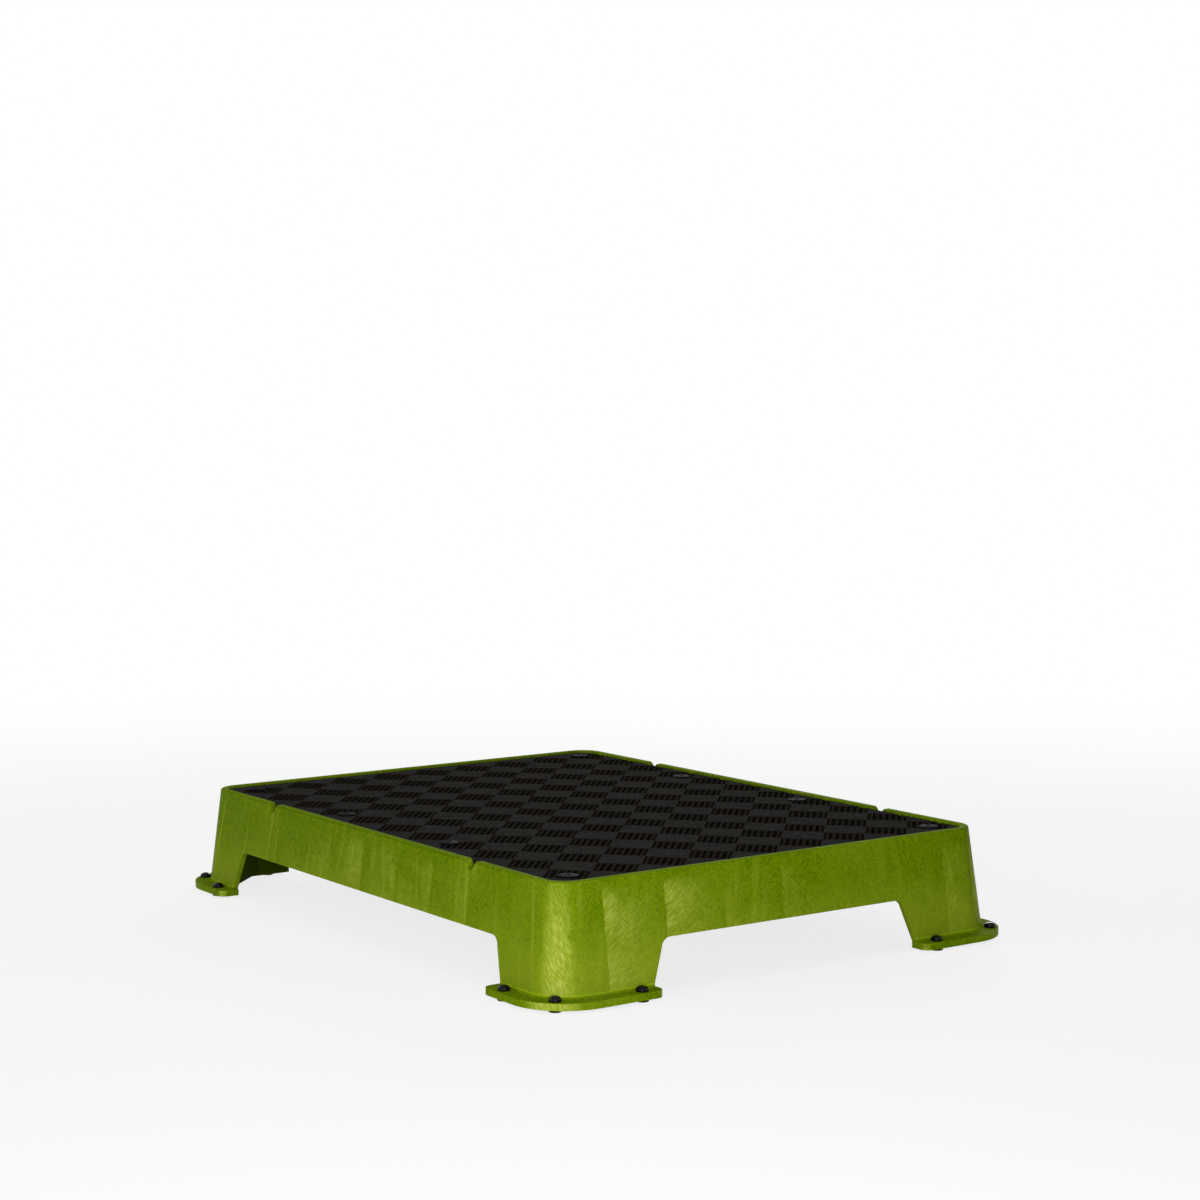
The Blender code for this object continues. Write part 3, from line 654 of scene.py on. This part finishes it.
def rimLoop(offset, z):
    radius = form.rimRadius + offset
    centreX = form.width / 2 - form.rimRadius
    centreY = form.length / 2 - form.rimRadius
    loop = []
    for quarter, (sideX, sideY) in enumerate([(1, 1), (-1, 1), (-1, -1), (1, -1)]):
        for step in range(form.cornerSteps + 1):
            angle = math.pi / 2 * (quarter + step / form.cornerSteps)
            x = sideX * centreX + radius * math.cos(angle)
            loop.append((x, sideY * centreY + radius * math.sin(angle), z))
    return loop


def arcPoints(centreOffset, centreZ, radius, start, end):
    points = []
    for step in range(form.arcSteps + 1):
        angle = math.radians(start + (end - start) * step / form.arcSteps)
        points.append((centreOffset + radius * math.cos(angle), centreZ + radius * math.sin(angle)))
    return points


def shellSections():  # from the deck's underside, round the wall and the rim, to the deck's top
    foot = form.lipBottom + form.lipStep
    fillet = form.lipFillet
    filletTop = form.lipTop + fillet
    flare = outerOffset(filletTop) + fillet
    outer = form.rimOuterRound
    shoulder = form.height - outer
    sections = [(innerOffset(form.deckBottom), form.deckBottom), (innerOffset(foot), foot), (flare, foot)]
    sections += arcPoints(flare, filletTop, fillet, 270, 180)
    sections += arcPoints(outerOffset(shoulder) - outer, shoulder, outer, 0, 90)
    inner = form.rimInnerRound
    sections += arcPoints(inner - form.rimWidth, form.height - inner, inner, 90, 180)
    sections.append((-form.rimWidth, form.deckTop))
    return sections


def makeShell():
    bm = bmesh.new()
    loops = [[bm.verts.new(point) for point in rimLoop(offset, z)] for offset, z in shellSections()]
    for lower, upper in zip(loops, loops[1:]):
        for index in range(len(lower)):
            following = (index + 1) % len(lower)
            bm.faces.new((lower[index], lower[following], upper[following], upper[index]))
    bm.faces.new(loops[0])
    bm.faces.new(loops[-1])
    return addObject("boardMoulding", meshFrom(bm, "boardMoulding"))


def gapCutter(name, size, footWidth, depth, turn):  # the gap between two legs, right through the board
    slope = math.tan(form.legSlope)
    top = form.gapHeight
    halfTop = size / 2 - footWidth - (top - form.lipTop) * slope
    halfBottom = size / 2 - footWidth + (top + form.lipTop) * slope
    outline = roundedOutline([
        (-halfBottom, -top, 0), (halfBottom, -top, 0),
        (halfTop, top, form.gapRadius), (-halfTop, top, form.gapRadius),
    ], form.arcSteps)
    cutter = prism(name, [outline], depth + 2 * (outerOffset(0) + form.lipReach))
    cutter.rotation_euler = (math.pi / 2, 0, turn)
    return cutter


def footLips():
    outer = outerOffset(form.lipTop) + form.lipReach
    inner = innerOffset(form.lipBottom) + form.lipRoot
    frontArm = form.frontLeg + form.frontOverrun
    sideArm = form.sideLeg + form.sideOverrun
    outline = roundedOutline([
        (-outer, sideArm, form.lipEndRadius), (-outer, -outer, form.rimRadius + outer),
        (frontArm, -outer, form.lipEndRadius), (frontArm, -inner, 0),
        (-inner, -inner, form.rimRadius + inner), (-inner, sideArm, 0),
    ], form.cornerSteps)
    plans = [[fromCorner(signs, x, y) for x, y in outline] for signs in corners]
    lips = prism("footLips", plans, form.lipTop - form.lipBottom)
    lips.location.z = (form.lipTop + form.lipBottom) / 2
    limits = {"limit_method": "ANGLE", "angle_limit": form.lipAngle}
    addModifier(lips, "BEVEL", width=form.lipRound, segments=form.lipSteps, **limits)
    return lips


def plates(name, quads, thickness):
    bm = bmesh.new()
    for quad in quads:
        bm.faces.new([bm.verts.new(point) for point in quad])
    mesh = bpy.data.meshes.new(name)
    bm.to_mesh(mesh)
    bm.free()
    plate = addObject(name, mesh)
    addModifier(plate, "SOLIDIFY", thickness=thickness, offset=0)
    return plate


def ribQuads():  # upright quads across the board below the deck, let into deck and walls
    top = (form.deckBottom + form.deckTop) / 2
    bottom = form.deckBottom - form.ribDepth
    low = form.width / 2 + middleOffset(bottom)
    high = form.width / 2 + middleOffset(top)
    quads = []
    for number in range(1, form.ribs + 1):
        y = number * form.length / (form.ribs + 1) - form.length / 2
        quads.append([(-low, y, bottom), (low, y, bottom), (high, y, top), (-high, y, top)])
    return quads


def webQuads():  # an upright quad across the inside of each leg's corner
    top = (form.deckBottom + form.deckTop) / 2
    bottom = form.lipBottom + form.webLift
    quads = []
    for signs in corners:
        quad = []
        for z, order in ((bottom, 1), (top, -1)):
            wall = -middleOffset(z)
            far = form.webDistance - wall
            for inwardX, inwardY in [(wall, far), (far, wall)][::order]:
                quad.append((*fromCorner(signs, inwardX, inwardY), z))
        quads.append(quad)
    return quads


def notchCutters():
    depth = form.notchDepth
    shoulder = form.notchShoulder
    halfTop = form.notchTop / 2
    halfFloor = form.notchFloor / 2
    far = halfTop + 2 * shoulder
    above = form.height + depth
    skim = form.height + form.notchSkim
    floor = form.height - depth
    half = [(far, above, 0), (far, skim, 0)]
    half += [(halfTop, skim, shoulder), (halfFloor, floor, form.notchFloorRound)]
    outlines = []
    for sign in (-1, 1):
        y = sign * (form.length / 2 - form.notchInset)
        near = [(y - x, z, radius) for x, z, radius in half]
        away = [(y + x, z, radius) for x, z, radius in reversed(half)]
        outlines.append(roundedOutline(near + away, form.arcSteps))
    outside = form.width / 2 + outerOffset(floor) + form.notchRunIn
    inside = form.width / 2 - form.rimWidth - form.notchRunIn
    cutters = []
    for sign in (-1, 1):
        cutter = prism("notches", outlines, outside - inside)
        cutter.rotation_euler = (math.pi / 2, 0, math.pi / 2)
        cutter.location.x = sign * (outside + inside) / 2
        cutters.append(cutter)
    return cutters


def roundHoles(places, radius, bottom, top):
    bm = bmesh.new()
    drill = {"radius1": radius, "radius2": radius, "depth": top - bottom}
    for x, y in places:
        made = bmesh.ops.create_cone(bm, cap_ends=True, segments=form.holeSteps, **drill)
        bmesh.ops.translate(bm, verts=made["verts"], vec=(x, y, (top + bottom) / 2))
    return addObject("holes", meshFrom(bm, "holes"))


def nodeCentres(start):  # plan middle of each CAD node whose name starts so
    centres = []
    for name in sorted(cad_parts):
        if name.startswith(start):
            low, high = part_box(name)
            centres.append(((low.x + high.x) / 2, (low.y + high.y) / 2))
    return centres


bumperPlaces = nodeCentres("bumper_")
rivetPlaces = nodeCentres("mat_rivet_")


def markCutEdges(piece):  # the sharp edges above the lips take the small rounding
    lowest = form.lipTop + form.lipFillet + form.edgeRound
    bm = bmesh.new()
    bm.from_mesh(piece.data)
    weight = bm.edges.layers.float.new("bevel_weight_edge")
    for edge in bm.edges:
        high = min(vertex.co.z for vertex in edge.verts) > lowest
        if high and edge.is_manifold and edge.calc_face_angle() > form.edgeAngle:
            edge[weight] = 1
    bm.to_mesh(piece.data)
    bm.free()


def makeBoard():
    board = makeShell()
    past = form.drillPast
    cuts = [
        gapCutter("frontGap", form.width, form.frontLeg, form.length, 0),
        gapCutter("sideGap", form.length, form.sideLeg, form.width, math.pi / 2),
    ]
    additions = [
        footLips(),
        plates("deckRibs", ribQuads(), form.ribThickness),
        plates("legWebs", webQuads(), form.webThickness),
    ]
    lastCuts = notchCutters() + [
        roundHoles(bumperPlaces, form.bumperHole, 0, form.bumperHoleTop),
        roundHoles(rivetPlaces, form.rivetHole, form.deckBottom - past, form.deckTop + past),
    ]
    for operation, others in (("DIFFERENCE", cuts), ("UNION", additions), ("DIFFERENCE", lastCuts)):
        for other in others:
            addModifier(board, "BOOLEAN", operation=operation, object=other, solver="EXACT")
    board = frozen(board)
    for other in cuts + additions + lastCuts:
        removeObject(other)
    markCutEdges(board)
    limits = {"limit_method": "WEIGHT", "use_clamp_overlap": False}
    addModifier(board, "BEVEL", width=form.edgeRound, segments=form.edgeSteps, **limits)
    board = frozen(board)
    smoothShade(board, form.shadeAngle)
    addModifier(board, "WEIGHTED_NORMAL", keep_sharp=True, weight=100)
    board = frozen(board)
    board.data.materials.clear()
    board.data.materials.append(limePlastic)
    return board


board = makeBoard()
mouldedNodes = [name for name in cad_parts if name.split("_")[0] in ("deck", "wall", "leg")]
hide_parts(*mouldedNodes)
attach(board, "root")
print("board moulded:", len(board.data.polygons), "faces")


# Geometry Nodes helpers

def runTree(piece, tree, values):
    modifier = piece.modifiers.new(tree.name, "NODES")
    modifier.node_group = tree
    for item in tree.interface.items_tree:
        if item.in_out == "INPUT" and item.name in values:
            modifier[item.identifier] = values[item.name]


def geometryTree(name, inputs):
    made = newTree(name, "GeometryNodeTree", {"Geometry": "Geometry", **inputs}, {"Result": "Geometry"})
    made[0].is_modifier = True
    return made


def realised(geometry):
    return linkedNode("GeometryNodeRealizeInstances", {0: geometry}).outputs[0]


def finishTree(geometry, material, result):  # realised and given its finish, as the last steps
    inputs = {"Geometry": realised(geometry), "Material": material}
    giveOut(result, Result=linkedNode("GeometryNodeSetMaterial", inputs).outputs[0])


def copiesOn(points, piece, **others):
    inputs = {"Points": points, "Instance": piece, **others}
    return linkedNode("GeometryNodeInstanceOnPoints", inputs).outputs[0]


def moved(geometry, place, **others):
    inputs = {"Geometry": geometry, "Translation": place, **others}
    return linkedNode("GeometryNodeTransform", inputs).outputs[0]


def joined(*pieces):
    return addNode(pieces[0].id_data, "GeometryNodeJoinGeometry", {0: list(pieces)}).outputs[0]


def meshBoolean(operation, pieces, inputs):
    inputs["Mesh 2"] = pieces
    cut = addNode(pieces[0].id_data, "GeometryNodeMeshBoolean", inputs, operation=operation, solver="EXACT")
    return cut.outputs[0]


def scaled(vector, factor):
    return linkedNode("ShaderNodeVectorMath", {0: vector, "Scale": factor}, operation="SCALE").outputs[0]


def roundedQuad(width, height, radius, steps):
    quad = linkedNode("GeometryNodeCurvePrimitiveQuadrilateral", {"Width": width, "Height": height})
    fillet = linkedNode("GeometryNodeFilletCurve", {"Curve": quad.outputs[0], "Radius": radius}, mode="POLY")
    for socket in fillet.inputs:
        if socket.name == "Count":
            steps.id_data.links.new(steps, socket)
    return fillet.outputs[0]


# The mat: a sheet of diamond tread, every other diamond sunk and ribbed

def matSlab(given, thickness):  # the mat's outline as a closed slab
    outline = roundedQuad(given["Width"], given["Length"], given["Corner Radius"], given["Corner Steps"])
    sheet = linkedNode("GeometryNodeFillCurve", {0: outline}, mode="NGONS").outputs[0]
    sheet = moved(sheet, vectorOf(z=given["Bottom"]))
    raised = linkedNode("GeometryNodeExtrudeMesh", {
        "Mesh": sheet, "Offset": vectorOf(z=thickness), "Offset Scale": 1.0, "Individual": False,
    }, mode="FACES")
    under = linkedNode("GeometryNodeFlipFaces", {0: sheet})
    both = joined(raised.outputs[0], under.outputs[0])
    return linkedNode("GeometryNodeMergeByDistance", {"Geometry": both, "Distance": matMerge}).outputs[0]


def makeTreadTree():
    inputs = {name: "Int" if isinstance(size, int) else "Float" for name, size in matSizes.items()}
    inputs.update({"Hole Places": "Object", "Finish": "Material"})
    tree, given, result = geometryTree("diamondTread", inputs)
    top = plus(given["Bottom"], given["Thickness"])
    halfAcross = minus(times(given["Pitch Across"], 0.5), given["Land"])
    halfAlong = minus(times(given["Pitch Along"], 0.5), given["Land"])
    # the lattice of ribbed diamonds
    lattice = linkedNode("GeometryNodeMeshGrid", {
        "Size X": times(given["Pitch Across"], given["Cells Across"]),
        "Size Y": times(given["Pitch Along"], given["Cells Along"]),
        "Vertices X": plus(given["Cells Across"], 1.0), "Vertices Y": plus(given["Cells Along"], 1.0),
    }).outputs[0]
    lattice = moved(lattice, vectorOf(given["Shift Across"], given["Shift Along"]))
    # pockets and rivet holes cut out of the slab
    pocket = addNode(tree, "GeometryNodeMeshCylinder", {"Vertices": 4, "Radius": 1.0, "Depth": 2.0})
    pocketSize = vectorOf(halfAcross, halfAlong, given["Depth"])
    pocket = moved(pocket.outputs[0], vectorOf(z=top), Scale=pocketSize)
    pockets = realised(copiesOn(lattice, pocket))
    holePoints = linkedNode("GeometryNodeObjectInfo", {"Object": given["Hole Places"]}).outputs["Geometry"]
    drill = {"Vertices": given["Hole Steps"], "Radius": given["Hole Radius"]}
    drill["Depth"] = times(given["Thickness"], 4.0)  # well past the sheet on both sides
    drill = linkedNode("GeometryNodeMeshCylinder", drill).outputs[0]
    drills = realised(moved(copiesOn(holePoints, drill), vectorOf(z=top)))
    slab = matSlab(given, given["Thickness"])
    sunk = meshBoolean("DIFFERENCE", [pockets, drills], {"Mesh 1": slab})
    # one rib along a diamond's side, its lower half sunk in the sheet
    ribHeight = times(given["Depth"], 2.0)
    section = roundedQuad(given["Rib Width"], ribHeight, given["Rib Round"], given["Rib Steps"])
    side = vectorOf(halfAcross, halfAlong)
    halfRib = minus(times(vectorMaths("LENGTH", side)["Value"], 0.5), given["Rib End Gap"])
    ribEnd = scaled(vectorMaths("NORMALIZE", side)[0], halfRib)
    path = linkedNode("GeometryNodeCurvePrimitiveLine", {"Start": scaled(ribEnd, -1.0), "End": ribEnd})
    path = linkedNode("GeometryNodeSetCurveNormal", {"Curve": path.outputs[0]}, mode="Z_UP")
    rib = linkedNode("GeometryNodeCurveToMesh", {
        "Curve": path.outputs[0], "Profile Curve": section, "Fill Caps": True,
    }).outputs[0]
    # a row of ribs across the diamond
    ribGap = maths("DIVIDE", 1.0, given["Ribs"])
    across = vectorOf(halfAcross, times(halfAlong, -1.0))
    row = linkedNode("GeometryNodeMeshLine", {
        "Count": given["Ribs"], "Start Location": scaled(across, timesPlus(ribGap, 0.5, -0.5)),
        "Offset": scaled(across, ribGap),
    }, mode="OFFSET").outputs[0]
    floor = vectorOf(z=minus(top, given["Depth"]))
    ribs = realised(moved(copiesOn(row, rib), floor))
    # whole diamonds keep their ribs, and those at the edge are trimmed to the mat's outline
    where = partsOf(addNode(tree, "GeometryNodeInputPosition").outputs[0])
    whole = []
    for axis, size, half in (("X", "Width", halfAcross), ("Y", "Length", halfAlong)):
        whole.append(maths("LESS_THAN", unsigned(where[axis]), minus(times(given[size], 0.5), half)))
    halves = linkedNode("GeometryNodeSeparateGeometry", {
        "Geometry": lattice, "Selection": times(*whole),
    }, domain="POINT").outputs
    inner = copiesOn(halves[0], ribs)
    edge = realised(copiesOn(halves[1], ribs))
    outline = matSlab(given, times(given["Thickness"], 2.0))  # tall enough for the ribs
    trimmed = meshBoolean("INTERSECT", [edge, outline], {})
    finishTree(joined(sunk, trimmed, inner), given["Finish"], result)
    return tree


def pointsObject(name, places):
    mesh = bpy.data.meshes.new(name)
    mesh.from_pydata([(x, y, 0) for x, y in places], [], [])
    return addObject(name, mesh)


def makeMat():
    holes = pointsObject("matHoles", rivetPlaces)
    mat = addObject("treadMat", bpy.data.meshes.new("treadMat"))
    runTree(mat, makeTreadTree(), {**matSizes, "Hole Places": holes, "Finish": matRubber})
    mat = frozen(mat)
    removeObject(holes)
    smoothShade(mat, matSharpAngle)
    return mat


mat = makeMat()
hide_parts("mat")
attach(mat, "root")
print("mat made:", len(mat.data.polygons), "faces")


# Turned pieces, copied to their places

def makeCopiesTree():
    inputs = {"Piece": "Object", "Most Turn": "Float", "Seed": "Int", "Finish": "Material"}
    tree, given, result = geometryTree("placedCopies", inputs)
    turned = linkedNode("GeometryNodeObjectInfo", {"Object": given["Piece"]}).outputs["Geometry"]
    limits = {3: given["Most Turn"], "Seed": given["Seed"]}
    angle = vectorOf(z=linkedNode("FunctionNodeRandomValue", limits, data_type="FLOAT").outputs[1])
    finishTree(copiesOn(given["Geometry"], turned, Rotation=angle), given["Finish"], result)
    return tree


copiesTree = makeCopiesTree()
lathe = {"steps": 40, "mergeWithin": 0.000002, "sharpAngle": 38}


def turnedPiece(name, profile):  # profile is (radius, height) from the top of the axis to its bottom
    bm = bmesh.new()
    points = [bm.verts.new((radius, 0, z)) for radius, z in profile]
    edges = [bm.edges.new(pair) for pair in zip(points, points[1:])]
    around = {"cent": (0, 0, 0), "axis": (0, 0, 1), "angle": 2 * math.pi, "steps": lathe["steps"]}
    bmesh.ops.spin(bm, geom=points + edges, **around)
    bmesh.ops.remove_doubles(bm, verts=bm.verts, dist=lathe["mergeWithin"])
    return addObject(name, meshFrom(bm, name))


def placeTurned(name, profile, places, finish, seed):
    turned = turnedPiece(name + "One", profile)
    copies = pointsObject(name, places)
    runTree(copies, copiesTree, {"Piece": turned, "Most Turn": 2 * math.pi, "Seed": seed, "Finish": finish})
    made = frozen(copies)
    removeObject(turned)
    smoothShade(made, lathe["sharpAngle"])
    return made


def quarterTurn(steps):  # the sine and cosine of even steps from 0 to 90 degrees
    angles = [math.pi / 2 * step / steps for step in range(steps + 1)]
    return [(math.sin(angle), math.cos(angle)) for angle in angles]


rivet = {
    "seat": 0.0003, "headRadius": 0.010, "headHeight": 0.0018, "headEdge": 0.0006, "edgeRound": 0.0004,
    "dimpleRadius": 0.003, "dimpleDepth": 0.0009, "shankRadius": 0.0032,
    "barbRadius": 0.0045, "barbHeight": 0.0025, "tipRadius": 0.0015, "tipHeight": 0.006, "arcSteps": 10,
    "seed": 7,
}


def rivetProfile():
    headBottom = matSizes["Bottom"] + matSizes["Thickness"] + rivet["seat"]
    headTop = headBottom + rivet["headHeight"]
    barbTop = form.deckBottom - rivet["seat"]
    barbBottom = barbTop - rivet["barbHeight"]
    tip = barbBottom - rivet["tipHeight"]
    dimple = rivet["dimpleRadius"]
    reach = rivet["headRadius"] - dimple
    fall = rivet["headHeight"] - rivet["headEdge"]
    turn = quarterTurn(rivet["arcSteps"])[:-1]
    profile = [(dimple * sine, headTop - rivet["dimpleDepth"] * cosine) for sine, cosine in turn]
    profile += [(dimple + reach * sine, headTop - fall * (1 - cosine)) for sine, cosine in turn]
    profile += [
        (rivet["headRadius"], headBottom + rivet["headEdge"] - rivet["edgeRound"]),
        (rivet["headRadius"] - rivet["edgeRound"], headBottom),
        (rivet["shankRadius"], headBottom), (rivet["shankRadius"], barbTop),
        (rivet["barbRadius"], barbTop), (rivet["barbRadius"], barbBottom),
        (rivet["tipRadius"], tip), (0, tip),
    ]
    return profile


rivets = placeTurned("matRivets", rivetProfile(), rivetPlaces, rivetPlastic, rivet["seed"])
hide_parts(*[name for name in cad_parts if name.startswith("mat_rivet_")])
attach(rivets, "root")
print("rivets set")

bumper = {
    "seat": 0.0003, "headRadius": 0.006, "headHeight": 0.005, "headSide": 0.0013, "skirt": 0.0004,
    "neckRadius": 0.003, "padRadius": 0.0063, "padRound": 0.0006, "arcSteps": 14, "padSteps": 4,
    "seed": 11,
}


def bumperProfile():
    headBottom = form.lipTop + bumper["seat"]
    domeBottom = headBottom + bumper["headSide"]
    domeHeight = bumper["headHeight"] - bumper["headSide"]
    padTop = form.lipBottom - bumper["seat"]
    head = bumper["headRadius"]
    pad = bumper["padRadius"]
    skirt = bumper["skirt"]
    dome = quarterTurn(bumper["arcSteps"])
    profile = [(head * sine, domeBottom + domeHeight * cosine) for sine, cosine in dome]
    profile += [
        (head, headBottom + skirt), (head - skirt, headBottom),
        (bumper["neckRadius"], headBottom), (bumper["neckRadius"], padTop),
        (pad - skirt, padTop), (pad, padTop - skirt),
    ]
    for sine, cosine in quarterTurn(bumper["padSteps"]):
        profile.append((pad - bumper["padRound"] * (1 - cosine), bumper["padRound"] * (1 - sine)))
    profile.append((0, 0))
    return profile


bumpers = placeTurned("footBumpers", bumperProfile(), bumperPlaces, bumperRubber, bumper["seed"])
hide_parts(*[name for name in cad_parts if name.startswith("bumper_")])
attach(bumpers, "root")
print("bumpers set")


# Studio: pale floor, white surroundings and soft lamps

studio = {
    "floorSize": 14,
    "floorColour": srgb(236, 236, 236), "floorRough": 0.9, "floorShine": 0.1,
    "ambient": 0.17,
    "floorWhite": 0.8,  # share of plain white that the camera sees in the floor near the board
    "whiteFrom": 0.7, "whiteTo": 2.2,  # where the floor turns into the white surroundings
}
lamps = [
    # name, place, aim, width, height, watts
    ("lowSoftbox", (-0.864, -1.5, 0.24), (-0.25, -0.35, 0.06), 0.22, 0.46, 11),
    ("keySoftbox", (-1.0, -0.9, 0.6), (-0.25, -0.3, 0.06), 0.5, 0.5, 1.5),
    ("leftFill", (-2.4, 0.6, 0.9), (-0.2, 0.1, 0.05), 1.2, 1.2, 15),
    ("topSoftbox", (-0.15, -0.4, 2.4), (0, 0, 0.05), 1.6, 1.6, 10),
    ("backFill", (2.0, 2.0, 1.3), (0.1, 0.15, 0.05), 1.6, 0.8, 36),
]


def seenWhite(tree):  # 1 where the camera sees the surroundings, itself or in gloss or glass
    seen = addNode(tree, "ShaderNodeLightPath").outputs
    return larger(larger(seen["Is Camera Ray"], seen["Is Glossy Ray"]), seen["Is Transmission Ray"])


def makeFloor():
    bm = bmesh.new()
    bmesh.ops.create_grid(bm, x_segments=2, y_segments=2, size=studio["floorSize"] / 2)
    floor = addObject("floor", meshFrom(bm, "floor"))
    material, tree, shader = startFinish("paleFloor", {
        "Base Color": studio["floorColour"], "Roughness": studio["floorRough"],
        "Specular IOR Level": studio["floorShine"],
    })
    away = vectorMaths("LENGTH", objectPlace(tree))["Value"]
    farOff = ramp(away, studio["whiteFrom"], studio["whiteTo"])
    share = timesPlus(farOff, 1 - studio["floorWhite"], studio["floorWhite"])
    share = times(share, seenWhite(tree))
    white = addNode(tree, "ShaderNodeEmission", {"Color": (1, 1, 1, 1), "Strength": 1.0})
    both = linkedNode("ShaderNodeMixShader", {0: share, 1: shader.outputs[0], 2: white.outputs[0]})
    tree.links.new(both.outputs[0], tree.nodes["Material Output"].inputs["Surface"])
    floor.data.materials.append(material)


def makeSurroundings():
    world = bpy.data.worlds.new("surroundings")
    world.use_nodes = True
    bpy.context.scene.world = world
    tree = world.node_tree
    background = tree.nodes["Background"].inputs
    background["Color"].default_value = (1, 1, 1, 1)
    strength = timesPlus(seenWhite(tree), 1 - studio["ambient"], studio["ambient"])
    tree.links.new(strength, background["Strength"])


def makeLamps():
    for name, place, aim, width, height, watts in lamps:
        lamp = bpy.data.lights.new(name, "AREA")
        lamp.shape = "RECTANGLE"
        lamp.size = width
        lamp.size_y = height
        lamp.energy = watts
        holder = addObject(name, lamp)
        holder.location = place
        holder.rotation_euler = (Vector(aim) - Vector(place)).to_track_quat("-Z", "Y").to_euler()


makeFloor()
makeSurroundings()
makeLamps()
bpy.context.scene.view_settings.view_transform = "Standard"
print("studio lit")
